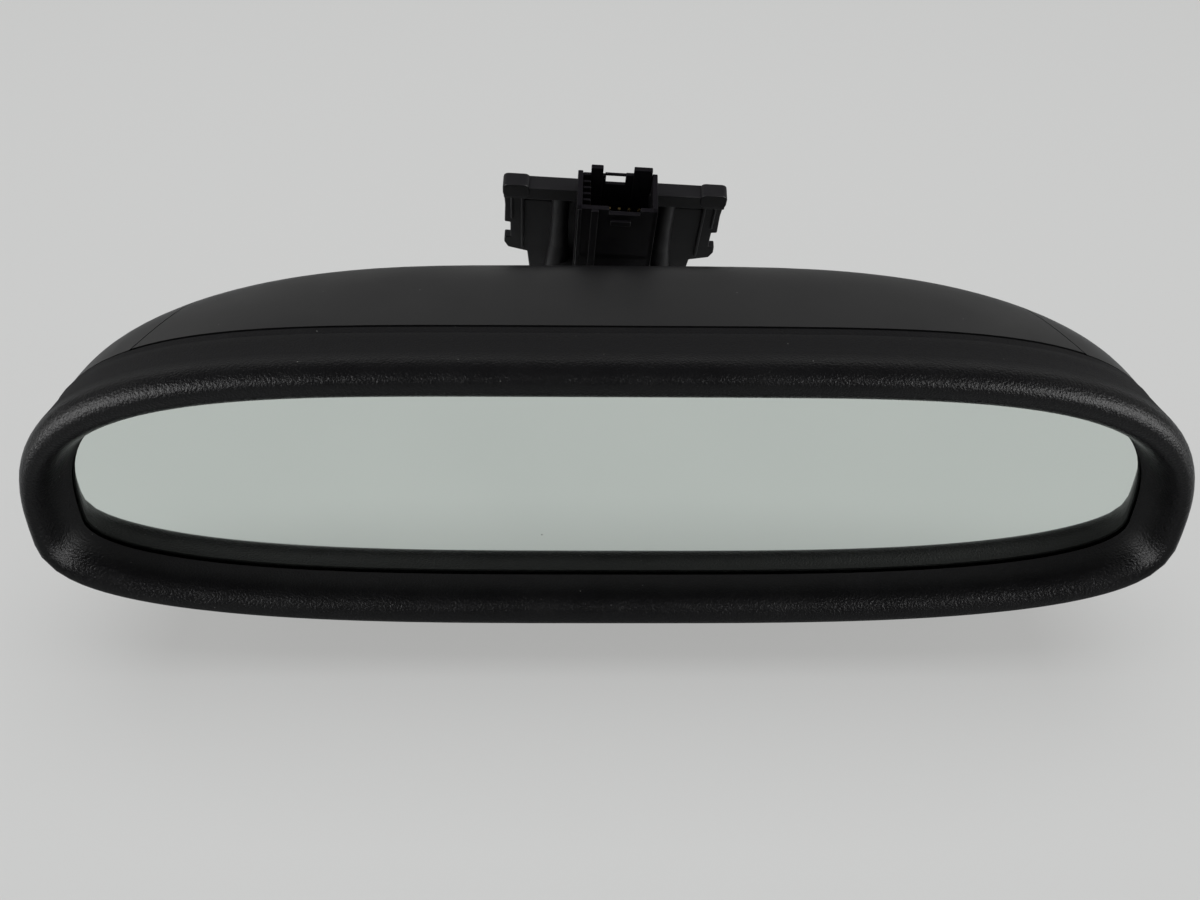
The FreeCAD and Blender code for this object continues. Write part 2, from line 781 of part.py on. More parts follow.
def header_block(name, inset, low_x, end_wall):
    """Box on the board's wire header, drawn in from its outside by an inset."""
    low = (low_x, f"{board_back} + {inset}", f"{header_z} - @header_width / 2 + {inset}")
    high = (f"{header_low_x} + @header_length - {end_wall}", f"{board_back} + @header_height - {inset}",
            f"{header_z} + @header_width / 2 - {inset}")
    return block(name, low, high)


header_box = header_block("header_box", 0, header_low_x, 0)
header_mouth = header_block("header_mouth", 1.0, header_low_x, 1.2)
keep(cut("board_header", header_box, [header_mouth]), "board_header", head_frame)
plug_box = header_block("plug_box", 1.2, f"{header_low_x} - @plug_reach", 1.5)
keep(plug_box, "harness_plug", head_frame)


# ---------------------------------------------------------------- sensors

ambient_chip_back = f"({board_back} + @sensor_chip_height)"
keep(
    block("ambient_sensor", ("@ambient_x - 2", board_back, "@ambient_z - 2"),
          ("@ambient_x + 2", ambient_chip_back, "@ambient_z + 2")),
    "ambient_sensor", head_frame,
)
lens_front = f"({ambient_chip_back} + @fit_gap)"
lens_rod = rod("lens_rod", ("@ambient_x", lens_front, "@ambient_z"), "@ambient_lens_radius", "60")
keep(common("ambient_lens", lens_rod, shell_outer), "ambient_lens", head_frame)

keep(
    block("glare_lens",
          (f"@glare_x - @glare_lens_width / 2 + 0.1", "-0.9 - @glare_lens_length", f"{glare_low} + 0.1"),
          (f"@glare_x + @glare_lens_width / 2 - 0.1", "-1.1", f"{glare_low} + 1.5")),
    "glare_lens", head_frame,
)
keep(
    block("glare_sensor",
          (f"@glare_x - 1.8", "-@glare_lens_length - 0.6", f"{glare_low} - 1.6"),
          (f"@glare_x + 1.8", "-1.4", f"{glare_low}")),
    "glare_sensor", head_frame,
)


# ---------------------------------------------------------------- ball joint in the head

seat_outer = "(@ball_radius + @running_gap + @seat_wall)"
cavity_radius = f"({seat_outer} + @running_gap)"
origin = ("0", "0", "0")

rear_seat = common(
    "rear_seat",
    cut("rear_seat_shell", ball("rear_seat_sphere", origin, seat_outer),
        [ball("rear_seat_hollow", origin, "@ball_radius + @running_gap")]),
    rod("rear_seat_zone", ("0", "@rear_seat_near", "0"), seat_outer, "@rear_seat_far - @rear_seat_near"),
)
keep(rear_seat, "ball_seat_rear", ball_frame)

front_seat = cut(
    "front_seat",
    rod("front_seat_disc", ("0", "-@front_seat_far", "0"), seat_outer,
        "@front_seat_far - @front_seat_near"),
    [ball("front_seat_hollow", origin, "@ball_radius + @running_gap"),
     rod("front_seat_wire_hole", ("0", "-@front_seat_far", "0"), "@ball_mouth_radius + 1.2",
         "@front_seat_far")],
)
keep(front_seat, "ball_seat_front", ball_frame)

seat_front = "(-@front_seat_far)"
spring_back = f"({seat_front} - @spring_end_gap)"
spring_front = f"({seat_front} - @spring_height + @spring_end_gap)"
seat_spring = turned("seat_spring", [
    ("@ball_mouth_radius + 1.4", f"{spring_back}"),
    ("@ball_mouth_radius + 1.4", f"{spring_back} - @spring_thickness"),
    (f"{seat_outer} - 0.6", f"{spring_front}"),
    (f"{seat_outer} - 0.1", f"{spring_front}"),
    (f"{seat_outer} - 0.1", f"{spring_front} + @spring_thickness"),
])
keep(seat_spring, "seat_spring", ball_frame)

pivot_front = f"({seat_front} - @spring_height)"
pivot_outer = f"({cavity_radius} + @pivot_wall)"
pivot_solid = fuse("pivot_solid", [
    rod("pivot_barrel", ("0", pivot_front, "0"), pivot_outer, f"@housing_lip_depth - {pivot_front}"),
    rod("pivot_flange", ("0", pivot_front, "0"), "@flange_radius", "@flange_thickness"),
])
pivot_tools = [
    ball("pivot_sphere", origin, cavity_radius),
    rod("pivot_bore", ("0", pivot_front, "0"), cavity_radius, f"-{pivot_front}"),
    rod("pivot_lip", ("0", "0", "0"), "@housing_lip_radius", "@housing_lip_depth"),
]
for index, (right, up) in enumerate(PIVOT_CORNERS):
    pivot_tools.append(rod(f"pivot_hole_{index}",
                           (f"{right} * {boss_circle}", pivot_front, f"{up} * {boss_circle}"),
                           "@pivot_screw_radius + @screw_hole_gap", "@flange_thickness"))
keep(cut("pivot_housing", pivot_solid, pivot_tools), "pivot_housing", ball_frame)

plate_tools = [rod("plate_wire_hole", ("0", f"{pivot_front} - @spring_plate_thickness", "0"),
                   "@ball_mouth_radius + 1.4", "@spring_plate_thickness")]
for index, (right, up) in enumerate(PIVOT_CORNERS):
    plate_tools.append(rod(f"plate_hole_{index}",
                           (f"{right} * {boss_circle}", f"{pivot_front} - @spring_plate_thickness",
                            f"{up} * {boss_circle}"),
                           "@pivot_screw_radius + @screw_hole_gap", "@spring_plate_thickness"))
keep(
    cut("spring_plate", rod("plate_disc", ("0", f"{pivot_front} - @spring_plate_thickness", "0"),
                            "@flange_radius", "@spring_plate_thickness"), plate_tools),
    "spring_plate", ball_frame,
)

pivot_screws = []
flange_back = f"({pivot_front} + @flange_thickness)"
for index, (right, up) in enumerate(PIVOT_CORNERS):
    x = f"{right} * {boss_circle}"
    z = f"{up} * {boss_circle}"
    pivot_screws.append(cut(f"pivot_screw_{index}", fuse(f"pivot_screw_solid_{index}", [
        rod(f"pivot_shank_{index}", (x, f"{pivot_front} - @spring_plate_thickness - @pivot_screw_grip", z),
            "@pivot_screw_radius", "@spring_plate_thickness + @flange_thickness + @pivot_screw_grip"),
        rod(f"pivot_head_{index}", (x, flange_back, z), f"@pivot_screw_radius * {HEAD_RATIO}",
            "@screw_head_height"),
    ]), [rod(f"pivot_socket_{index}", (x, f"{flange_back} + @screw_head_height / 2", z),
             f"@pivot_screw_radius * {SOCKET_RATIO}", "@screw_head_height")]))
pivot_screws_all = document.addObject("Part::Compound", "pivot_screws")
pivot_screws_all.Links = pivot_screws
keep(pivot_screws_all, "pivot_screws", ball_frame)


# ---------------------------------------------------------------- ball arm

lean_sin = "sin(@foot_lean * 1 deg)"
lean_cos = "cos(@foot_lean * 1 deg)"
flange_back_y = "(-@foot_thickness - @bracket_plate)"
flange_front_y = f"({flange_back_y} - @arm_flange_thickness)"
bend_y = f"({flange_front_y} - @arm_root)"
bend_end_y = f"({bend_y} - @arm_bend_radius * {lean_sin})"
bend_end_z = f"(@arm_bend_radius * (1 - {lean_cos}))"
reach_turn = Rotation(Vector(1, 0, 0), 90 - size("foot_lean"))
bend_turn = Rotation(Vector(0, 0, -1), Vector(0, -1, 0), Vector(-1, 0, 0), "XYZ")


def reach_rod(name, start, radius, length, radius_end=None):
    """Round length of the arm's level run, from a distance past the bend towards the ball."""
    if radius_end is None:
        item = rod(name, origin, radius, length)
    else:
        item = cone(name, origin, radius, radius_end, length)
    item.Placement.Rotation = reach_turn
    place(item, ("0", f"{bend_end_y} - ({start}) * {lean_cos}", f"{bend_end_z} + ({start}) * {lean_sin}"))
    return item


def bend_ring(name, radius):
    """Round length of the arm's bend."""
    item = document.addObject("Part::Torus", name)
    item.Placement.Rotation = bend_turn
    bind(item, {"Radius1": "Sizes.arm_bend_radius", "Radius2": cells(radius), "Angle3": "Sizes.foot_lean"})
    place(item, ("0", bend_y, "@arm_bend_radius"))
    return item


def entry_ring(name, radius):
    """Quarter bend by which the wires turn from the grommet into the arm's root."""
    item = document.addObject("Part::Torus", name)
    item.Placement.Rotation = Rotation(Vector(0, 1, 0), Vector(0, 0, -1), Vector(-1, 0, 0), "XYZ")
    bind(item, {"Radius1": cells("@entry_bend"), "Radius2": cells(radius), "Angle3": "90"})
    place(item, ("0", f"{entry_y} - @entry_bend", "@entry_bend"))
    return item


entry_y = f"({flange_front_y} - @grommet_radius - @grommet_brim - @fit_gap)"
ball_y = f"({bend_end_y} - @arm_reach * {lean_cos})"
ball_z = f"({bend_end_z} + @arm_reach * {lean_sin})"
neck_start = "(@arm_reach - @neck_length)"
arm_solid = fuse("arm_solid", [
    block("arm_flange", ("-@arm_flange_width / 2", flange_front_y, "-@arm_flange_height / 2"),
          ("@arm_flange_width / 2", flange_back_y, "@arm_flange_height / 2")),
    rod("arm_root_rod", ("0", bend_y, "0"), "@arm_radius", f"{flange_front_y} - {bend_y}"),
    bend_ring("arm_bend_ring", "@arm_radius"),
    reach_rod("arm_reach_rod", "0", "@arm_radius", f"{neck_start} - 4"),
    reach_rod("arm_taper", f"{neck_start} - 4", "@arm_radius", "4", "@neck_radius"),
    reach_rod("arm_neck", neck_start, "@neck_radius", "@neck_length"),
    ball("arm_ball", ("0", ball_y, ball_z), "@ball_radius"),
    rod("grommet_boss", ("0", entry_y, "0"), "@grommet_radius + @grommet_boss_wall",
        "@grommet_seat + @grommet_length", "z"),
])
arm_tools = [
    entry_ring("entry_bore", "@wire_bore_radius"),
    rod("entry_shaft", ("0", entry_y, "@entry_bend"), "@wire_bore_radius", "20", "z"),
    rod("grommet_room", ("0", entry_y, "@grommet_seat"), "@grommet_radius", "20", "z"),
    rod("root_bore", ("0", bend_y, "0"), "@wire_bore_radius", f"{entry_y} - @entry_bend - {bend_y}"),
    bend_ring("bend_bore", "@wire_bore_radius"),
    reach_rod("reach_bore", "0", "@wire_bore_radius", "@arm_reach"),
    reach_rod("ball_mouth", "@arm_reach", "@wire_bore_radius", "@ball_flat", "@ball_mouth_radius"),
    reach_rod("ball_face", "@arm_reach + @ball_flat", "@ball_radius", "5"),
]
for side in (-1, 1):
    arm_tools.append(rod(f"arm_screw_hole_{side + 1}", (f"{side} * @foot_screw_x", flange_front_y, "0"),
                         "@foot_screw_radius + @screw_hole_gap", "@arm_flange_thickness"))
keep(cut("ball_arm", arm_solid, arm_tools), "ball_arm", mount_frame)


# ---------------------------------------------------------------- mount foot

foot_half = "@foot_width / 2"
foot_low = "-@foot_height / 2"
foot_solid = block("foot_solid", (f"-{foot_half}", "-@foot_thickness", foot_low),
                   (foot_half, "0", "@foot_height / 2"))
foot_tools = [
    block("channel_mouth", ("-@channel_mouth_width / 2", "-@channel_depth", f"{foot_low} - 1"),
          ("@channel_mouth_width / 2", "1", "@channel_end")),
    block("channel_undercut", ("-@channel_width / 2", "-@channel_depth", f"{foot_low} - 1"),
          ("@channel_width / 2", "-@channel_lip", "@channel_end")),
]
for side in (-1, 1):
    foot_tools.append(rod(f"foot_thread_{side + 1}", (f"{side} * @foot_screw_x", "-@foot_thickness", "0"),
                          "@foot_screw_radius", "@foot_thickness - @channel_depth"))
keep(cut("mount_foot", foot_solid, foot_tools), "mount_foot", mount_frame)

foot_spring = padded("foot_spring", "YZ_Plane", [
    ("-@channel_depth", "-@foot_height / 2 + 1.5"),
    ("-@channel_depth + @foot_spring_thickness", "-@foot_height / 2 + 1.5"),
    ("-@channel_depth + @foot_spring_thickness + 0.6", "-4"),
    ("-@channel_depth + @foot_spring_thickness", "@channel_end - 2"),
    ("-@channel_depth", "@channel_end - 2"),
    ("-@channel_depth + 0.6", "-4"),
], "@foot_spring_width")
spring_offset = Placement(Vector(-size("foot_spring_width") / 2, 0, 0), Rotation())
keep(foot_spring, "foot_spring", mount_frame * spring_offset)

foot_screws = []
for side in (-1, 1):
    x = f"{side} * @foot_screw_x"
    foot_screws.append(cut(f"foot_screw_{side + 1}", fuse(f"foot_screw_solid_{side + 1}", [
        rod(f"foot_shank_{side + 1}", (x, flange_front_y, "0"), "@foot_screw_radius",
            "@arm_flange_thickness + @bracket_plate + @foot_screw_grip"),
        rod(f"foot_head_{side + 1}", (x, f"{flange_front_y} - @screw_head_height", "0"),
            "@foot_screw_head_radius", "@screw_head_height"),
    ]), [rod(f"foot_socket_{side + 1}", (x, f"{flange_front_y} - @screw_head_height", "0"),
             f"@foot_screw_radius * {SOCKET_RATIO}", "@screw_head_height / 2")]))
foot_screws_all = document.addObject("Part::Compound", "foot_screws")
foot_screws_all.Links = foot_screws
keep(foot_screws_all, "foot_screws", mount_frame)


# ---------------------------------------------------------------- bracket

plate_back = "(-@foot_thickness)"
plate_front = "(-@foot_thickness - @bracket_plate)"
band_front = f"({plate_front} - @band_thickness)"
band_low = "(@bracket_top - @band_height)"
skirt_edge = "(@bracket_half_width + @skirt_reach)"
band_half = f"({skirt_edge} - @skirt_wall)"


def sorted_side(side, near, far):
    """Lower and upper end across the mount of a stretch that lies on one side of its middle."""
    return (near, far) if side > 0 else (f"-({far})", f"-({near})")


bracket_plate_body = padded("bracket_plate_body", "XZ_Plane", [
    ("-@bracket_foot_half_width", "@bracket_foot_height"),
    ("@bracket_foot_half_width", "@bracket_foot_height"),
    ("@bracket_waist_half_width", "@bracket_waist_height"),
    ("@bracket_half_width", band_low),
    ("@bracket_half_width", "@bracket_top"),
    ("-@bracket_half_width", "@bracket_top"),
    ("-@bracket_half_width", band_low),
    ("-@bracket_waist_half_width", "@bracket_waist_height"),
], "@bracket_plate")
bracket_plate_body.Placement.Base.y = -size("foot_thickness")
bracket_parts = [
    bracket_plate_body,
    block("band", (f"-{band_half}", band_front, band_low), (band_half, plate_back, "@bracket_top")),
    block("rear_rib", ("-@bracket_half_width", plate_back, "@rib_level"),
          ("@bracket_half_width", f"{plate_back} + @rib_reach", "@rib_level + @rib_height")),
]
notch_half = "(@connector_half_width - @connector_wall)"
column_front = f"({plate_back} - 2 * @column_radius - 2 * @fit_gap)"
bracket_tools = [
    block("connector_room",
          ("-@connector_half_width - @fit_gap", f"{band_front} - 5", "@connector_foot - @fit_gap"),
          ("@connector_half_width + @fit_gap", plate_front, "@bracket_top + 5")),
    block("connector_notch", (f"-{notch_half}", plate_front, band_low),
          (notch_half, plate_back, "@bracket_top")),
]
for side in (-1, 1):
    mark = side + 1
    x = f"{side} * @column_x"
    column_base = (x, f"{plate_back} - @column_radius - @fit_gap", "@column_foot")
    bracket_parts.append(rod(f"column_{mark}", column_base, "@column_radius",
                             f"{band_low} - @column_foot", "z"))
    bracket_parts.append(rod(f"corner_lip_{mark}",
                             (f"{side} * ({skirt_edge} - @lip_length / 2) - @lip_length / 2", plate_front,
                              "@bracket_top - @lip_radius / 2"), "@lip_radius", "@lip_length", "x"))
    skirt = padded(f"skirt_{mark}", "XY_Plane", [
        (f"{side} * (@bracket_half_width - 2)", plate_front),
        (f"{side} * @bracket_half_width", plate_front),
        (f"{side} * {skirt_edge}", f"{plate_front} + @skirt_depth"),
        (f"{side} * ({skirt_edge} - @skirt_wall / 2)", plate_back),
        (f"{side} * (@bracket_half_width - 2)", plate_back),
    ], f"{band_low} + @lip_radius - @skirt_foot")
    skirt.Placement.Base.z = size("skirt_foot")
    bracket_parts.append(skirt)
    low_x, high_x = sorted_side(side, f"{skirt_edge} - @notch_depth", f"{skirt_edge} + @notch_depth")
    bracket_tools.append(block(f"notch_{mark}", (low_x, column_front, "@notch_low"),
                               (high_x, "0", "@notch_high")))
    low_x, high_x = sorted_side(side, "@slot_inner_x", "@slot_outer_x")
    bracket_tools.append(block(f"slot_{mark}", (low_x, column_front, f"{band_low} - @slot_height"),
                               (high_x, "0", band_low)))
    bracket_tools.append(rod(f"bracket_screw_hole_{mark}", (f"{side} * @foot_screw_x", plate_front, "0"),
                             "@foot_screw_radius + @screw_hole_gap", "@bracket_plate"))
keep(cut("bracket_body", fuse("bracket_solid", bracket_parts), bracket_tools), "bracket_body", mount_frame)


# ---------------------------------------------------------------- connector

box_back = plate_front
box_front = f"({box_back} - @connector_depth)"
wall_text = "@connector_wall"
inner_back = f"({box_back} - {wall_text})"
inner_front = f"({box_front} + {wall_text})"
inner_half = f"(@connector_half_width - {wall_text})"
socket_middle = f"({box_back} - @connector_depth / 2)"
bridge_low = "(@connector_back_top - 1.2)"
connector_solid = fuse("connector_solid", [
    block("connector_body", ("-@connector_half_width", box_front, "@connector_foot"),
          ("@connector_half_width", box_back, "@connector_back_top")),
    block("connector_post_left", ("-@connector_half_width + 3.2", inner_back, "@connector_foot"),
          ("-@connector_half_width + 3.2 + @connector_post_width", box_back, "@connector_post_top")),
    block("connector_post_right",
          ("@connector_half_width - 2 - @connector_post_width", inner_back, "@connector_foot"),
          ("@connector_half_width - 2", box_back, "@connector_post_top")),
    block("latch", ("-@latch_width / 2 + 1", f"{box_front} - @latch_reach", "@connector_front_top - 3.2"),
          ("@latch_width / 2 + 1", box_front, "@connector_front_top - 1.4")),
    block("front_rib", ("-6.4", f"{box_front} - 0.8", "@connector_foot"),
          ("-4.6", box_front, "@connector_back_top")),
])
comb_ribs = []
for index in range(5):
    y = f"({inner_back} - {1.1 + 2.0 * index})"
    comb_ribs.append(block(f"comb_{index}", (f"-{inner_half}", f"{y} - @comb_rib", "@connector_floor"),
                           (f"-{inner_half} + 2", y, "@connector_back_top - 1")))
connector_tools = [
    block("connector_socket", (f"-{inner_half}", inner_front, "@connector_floor"),
          (inner_half, inner_back, "60")),
    block("connector_underside", (f"-{inner_half}", inner_front, "@connector_foot"),
          (inner_half, inner_back, "@connector_floor - 2")),
    block("front_notch", ("-2", f"{box_front} - 2", "@connector_front_top"), ("5.6", inner_front, "60")),
    block("bridge_slot", ("-@bridge_slot_half_width", inner_back, f"{bridge_low} - @bridge_slot_height"),
          ("@bridge_slot_half_width", box_back, bridge_low)),
    block("front_groove", ("-@connector_half_width + 1.2", box_front, "@connector_foot"),
          ("-6.8", f"{box_front} + 0.7", "60")),
]
pin_places = [
    (f"{column} * @pin_pitch + 0.6", f"{socket_middle} + {row} * @pin_row_spacing / 2")
    for row in (-1, 1) for column in (-2, -1, 0, 1, 2)
]
pins = []
for index, (x, y) in enumerate(pin_places):
    low = (f"{x} - @pin_size / 2", f"{y} - @pin_size / 2", "@connector_floor - @pin_tail")
    high = (f"{x} + @pin_size / 2", f"{y} + @pin_size / 2", "@connector_floor + @pin_height")
    pins.append(block(f"pin_{index}", low, high))
    connector_tools.append(block(f"pin_hole_{index}", low, high))
connector_cut = cut("connector_cut", connector_solid, connector_tools)
keep(fuse("connector_housing", [connector_cut, *comb_ribs]), "connector_housing", mount_frame)
connector_pins = document.addObject("Part::Compound", "connector_pins")
connector_pins.Links = pins
keep(connector_pins, "connector_pins", mount_frame)


# ---------------------------------------------------------------- wires

gather_top = "(@connector_floor - @pin_tail)"
arm_wires = fuse("arm_wires", [
    block("wire_gather",
          ("-@gather_half_width", f"{entry_y} - @bundle_radius", f"{gather_top} - @gather_height"),
          ("@gather_half_width", f"{socket_middle} + @bundle_radius", gather_top)),
    rod("wire_drop", ("0", entry_y, "@entry_bend"), "@bundle_radius", f"{gather_top} - 1 - @entry_bend",
        "z"),
    entry_ring("wire_entry", "@bundle_radius"),
    rod("wire_root", ("0", bend_y, "0"), "@bundle_radius", f"{entry_y} - @entry_bend - {bend_y}"),
    bend_ring("wire_bend", "@bundle_radius"),
    reach_rod("wire_reach", "0", "@bundle_radius", "@arm_reach"),
    ball("wire_end", ("0", ball_y, ball_z), "@bundle_radius"),
])
keep(arm_wires, "arm_wires", mount_frame)

grommet = cut("grommet", fuse("grommet_solid", [
    rod("grommet_plug", ("0", entry_y, "@grommet_seat"), "@grommet_radius", "@grommet_length", "z"),
    rod("grommet_brim", ("0", entry_y, "@grommet_seat + @grommet_length"),
        "@grommet_radius + @grommet_brim", "1", "z"),
]), [rod("grommet_hole", ("0", entry_y, "0"), "@bundle_radius + @running_gap", "40", "z")])
keep(grommet, "grommet", mount_frame)

# The head's wires start just before the ball centre, turn sideways in front of the spring plate
# and end in the plug of the board's header. The route is straight runs joined by tangent arcs.
def rounded_route(points):
    """Straight runs with an arc at each inner point, as large as the runs beside it allow."""
    edges = []
    start = points[0]
    for before, corner, after in zip(points, points[1:], points[2:]):
        to_before = (before - corner).normalize()
        to_after = (after - corner).normalize()
        half_turn = (math.pi - to_before.getAngle(to_after)) / 2
        set_off = 0.45 * min((corner - before).Length, (after - corner).Length)
        radius = set_off / math.tan(half_turn)
        middle_way = (to_before + to_after).normalize()
        middle = corner + middle_way * (radius / math.cos(half_turn) - radius)
        arc_start = corner + to_before * set_off
        arc_end = corner + to_after * set_off
        edges.append(Part.LineSegment(start, arc_start).toShape())
        edges.append(Part.Arc(arc_start, middle, arc_end).toShape())
        start = arc_end
        print("wire bend radius", round(radius, 2))
    edges.append(Part.LineSegment(start, points[-1]).toShape())
    return Part.Wire(edges)


board_back_y = carrier_back + size("board_standoff") + size("board_thickness")
plug_y = board_back_y + size("header_height") / 2 - size("ball_depth")
plug_z = size("header_level") - size("ball_height")
plug_face_x = size("board_left") + 1 - size("plug_reach")
plate_front_y = -size("front_seat_far") - size("spring_height") - size("spring_plate_thickness")
gap_middle_y = (plate_front_y + carrier_back - size("ball_depth")) / 2
wire_points = [
    Vector(0, -size("bundle_radius") - size("wire_end_gap"), 0),
    Vector(0, gap_middle_y, 0),
    Vector(plug_face_x - size("plug_lead") - size("wire_rise"), gap_middle_y, 0),
    Vector(plug_face_x - size("plug_lead"), plug_y, plug_z),
    Vector(plug_face_x, plug_y, plug_z),
]
wire_route = document.addObject("Part::Feature", "wire_route")
wire_route.Shape = rounded_route(wire_points)
wire_circle = document.addObject("Part::Circle", "wire_circle")
wire_circle.Placement = Placement(wire_points[0], AXIS_TURNS["y"])
bind(wire_circle, {"Radius": "Sizes.bundle_radius"})
head_wires = document.addObject("Part::Sweep", "head_wires")
head_wires.Sections = [wire_circle]
head_wires.Spine = (wire_route, [f"Edge{index + 1}" for index in range(len(wire_route.Shape.Edges))])
head_wires.Solid = True
head_wires.Frenet = False
keep(head_wires, "head_wires", ball_frame)

document.recompute()

for item in document.Objects:
    if "Invalid" in item.State or "Error" in item.State:
        raise RuntimeError(f"{item.Name} failed to compute")
for node, item in subparts.items():
    if item.Shape.isNull() or not item.Shape.isValid():
        raise RuntimeError(f"{node} has no valid shape")

os.makedirs("parts", exist_ok=True)
for node, item in subparts.items():
    item.Shape.exportStep(f"parts/{node}.step")
print(len(subparts), "sub-parts written")
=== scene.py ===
import math

import bmesh
import bpy
from mathutils import Matrix, Vector
from mathutils.bvhtree import BVHTree


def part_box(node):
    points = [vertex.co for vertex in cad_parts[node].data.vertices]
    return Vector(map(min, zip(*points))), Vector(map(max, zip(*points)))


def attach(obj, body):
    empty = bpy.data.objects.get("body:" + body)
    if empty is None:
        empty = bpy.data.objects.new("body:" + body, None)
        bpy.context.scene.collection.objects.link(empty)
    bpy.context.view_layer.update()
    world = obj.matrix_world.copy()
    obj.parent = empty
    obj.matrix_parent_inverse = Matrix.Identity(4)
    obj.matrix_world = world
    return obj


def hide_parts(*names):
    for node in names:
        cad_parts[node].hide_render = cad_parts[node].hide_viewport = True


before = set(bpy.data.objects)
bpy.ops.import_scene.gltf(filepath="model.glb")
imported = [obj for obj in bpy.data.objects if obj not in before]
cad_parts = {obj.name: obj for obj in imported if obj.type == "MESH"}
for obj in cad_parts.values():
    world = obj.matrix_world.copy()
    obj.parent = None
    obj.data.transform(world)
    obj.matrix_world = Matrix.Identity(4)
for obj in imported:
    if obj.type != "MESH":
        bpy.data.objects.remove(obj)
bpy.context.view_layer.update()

# ------------------------------------------------------------------ view, table and light

# The view. The mirror stands face on to the viewer, who looks along the length of the car and
# down over the top edge of the rim, from a hand's reach in front of the glass.
EYE = (-0.0075, -0.2908, 0.1377)
PITCH_DOWN, TURN, LEAN = 35.7, -1.22, 0.9  # degrees
camera_data = bpy.data.cameras.new("camera")
camera_data.sensor_width = 36.0
camera_data.lens = 33.0
camera_data.clip_start = 0.01
camera_data.clip_end = 50.0
camera = bpy.data.objects.new("camera", camera_data)
camera.matrix_world = (
    Matrix.Translation(EYE)
    @ Matrix.Rotation(math.radians(TURN), 4, "Z")
    @ Matrix.Rotation(math.radians(90 - PITCH_DOWN), 4, "X")
    @ Matrix.Rotation(math.radians(LEAN), 4, "Z")
)
bpy.context.scene.collection.objects.link(camera)
bpy.context.scene.camera = camera
bpy.context.scene.view_settings.view_transform = "Standard"

# The table. A pale, plain surface, wide enough to fill the view. It lies far enough under the rim
# for the head's lower edge to pass over it at every limit of the ball joint.
TABLE_DROP = 0.0162
TABLE_REACH = 4.0
floor_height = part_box("front_bezel")[0].z - TABLE_DROP
bm = bmesh.new()
bmesh.ops.create_grid(bm, x_segments=1, y_segments=1, size=TABLE_REACH)
bmesh.ops.translate(bm, verts=bm.verts, vec=(0, 0, floor_height))
floor_mesh = bpy.data.meshes.new("floor")
bm.to_mesh(floor_mesh)
bm.free()
floor = bpy.data.objects.new("floor", floor_mesh)
bpy.context.scene.collection.objects.link(floor)
floor_material = bpy.data.materials.new("pale_table")
floor_material.use_nodes = True
table = floor_material.node_tree
floor_shader = table.nodes["Principled BSDF"]
floor_shader.inputs["Base Color"].default_value = (0.60, 0.61, 0.615, 1)
floor_shader.inputs["Roughness"].default_value = 0.6
floor_shader.inputs["Specular IOR Level"].default_value = 0.0
floor_mesh.materials.append(floor_material)


def combined(tree, operation, first, second=0.0):
    """Result of one sum in a node tree, on two values that are each a number or an output."""
    made = tree.nodes.new("ShaderNodeMath")
    made.operation = operation
    for socket, value in zip(made.inputs, (first, second)):
        if isinstance(value, bpy.types.NodeSocket):
            tree.links.new(value, socket)
        else:
            socket.default_value = value
    return made.outputs["Value"]


def eased(tree, value, start, end, low, high):
    """Value that turns smoothly from low to high while the given one runs from start to end."""
    made = tree.nodes.new("ShaderNodeMapRange")
    made.interpolation_type = "SMOOTHSTEP"
    limits = {"From Min": start, "From Max": end, "To Min": low, "To Max": high}
    for label, number in limits.items():
        made.inputs[label].default_value = number
    tree.links.new(value, made.inputs["Value"])
    return made.outputs["Result"]


# For the camera alone, the table takes on the backdrop's plain tone: in part near the object,
# which keeps its shadow pale, and wholly far away, where table and backdrop meet unseen.
BACKDROP = 0.62
BACKDROP_TINT = 0.985  # share of blue
PLAIN_SHARE_NEAR = 0.62
FADE_START, FADE_END = 0.45, 1.60  # metres from the middle of the frame
length = table.nodes.new("ShaderNodeVectorMath")
length.operation = "LENGTH"
table.links.new(table.nodes.new("ShaderNodeTexCoord").outputs["Object"], length.inputs["Vector"])
plain_share = combined(table, "MULTIPLY",
                       table.nodes.new("ShaderNodeLightPath").outputs["Is Camera Ray"],
                       eased(table, length.outputs["Value"], FADE_START, FADE_END,
                             PLAIN_SHARE_NEAR, 1.0))
plain_table = table.nodes.new("ShaderNodeEmission")
plain_table.inputs["Color"].default_value = (BACKDROP, BACKDROP, BACKDROP * BACKDROP_TINT, 1)
table_mix = table.nodes.new("ShaderNodeMixShader")
table.links.new(plain_share, table_mix.inputs[0])
table.links.new(floor_shader.outputs["BSDF"], table_mix.inputs[1])
table.links.new(plain_table.outputs["Emission"], table_mix.inputs[2])
table.links.new(table_mix.outputs["Shader"], table.nodes["Material Output"].inputs["Surface"])

# Room light: the room is bright low down behind the table and on both sides, and dark above and
# behind the viewer. The camera sees one plain backdrop instead.
DIM_ROOM, FAR_WALL, WINDOWS = 0.08, 0.72, 1.2  # strengths, where 1 is white
world = bpy.data.worlds.new("room")
world.use_nodes = True
room = world.node_tree
direction = room.nodes.new("ShaderNodeSeparateXYZ")
room.links.new(room.nodes.new("ShaderNodeTexCoord").outputs["Generated"],
               direction.inputs["Vector"])
across, along, height = (direction.outputs[axis] for axis in "XYZ")
far_wall = combined(room, "MULTIPLY", eased(room, along, 0.3, 0.8, 0.0, FAR_WALL),
                    combined(room, "MULTIPLY", eased(room, height, 0.10, 0.30, 0.15, 1.0),
                             eased(room, height, 0.30, 0.60, 1.0, 0.08)))
sideways = combined(room, "ABSOLUTE", across)
windows = combined(room, "MULTIPLY", eased(room, sideways, 0.50, 0.75, 0.0, WINDOWS),
                   combined(room, "MULTIPLY", eased(room, height, 0.05, 0.20, 0.0, 1.0),
                            eased(room, height, 0.65, 0.90, 1.0, 0.0)))
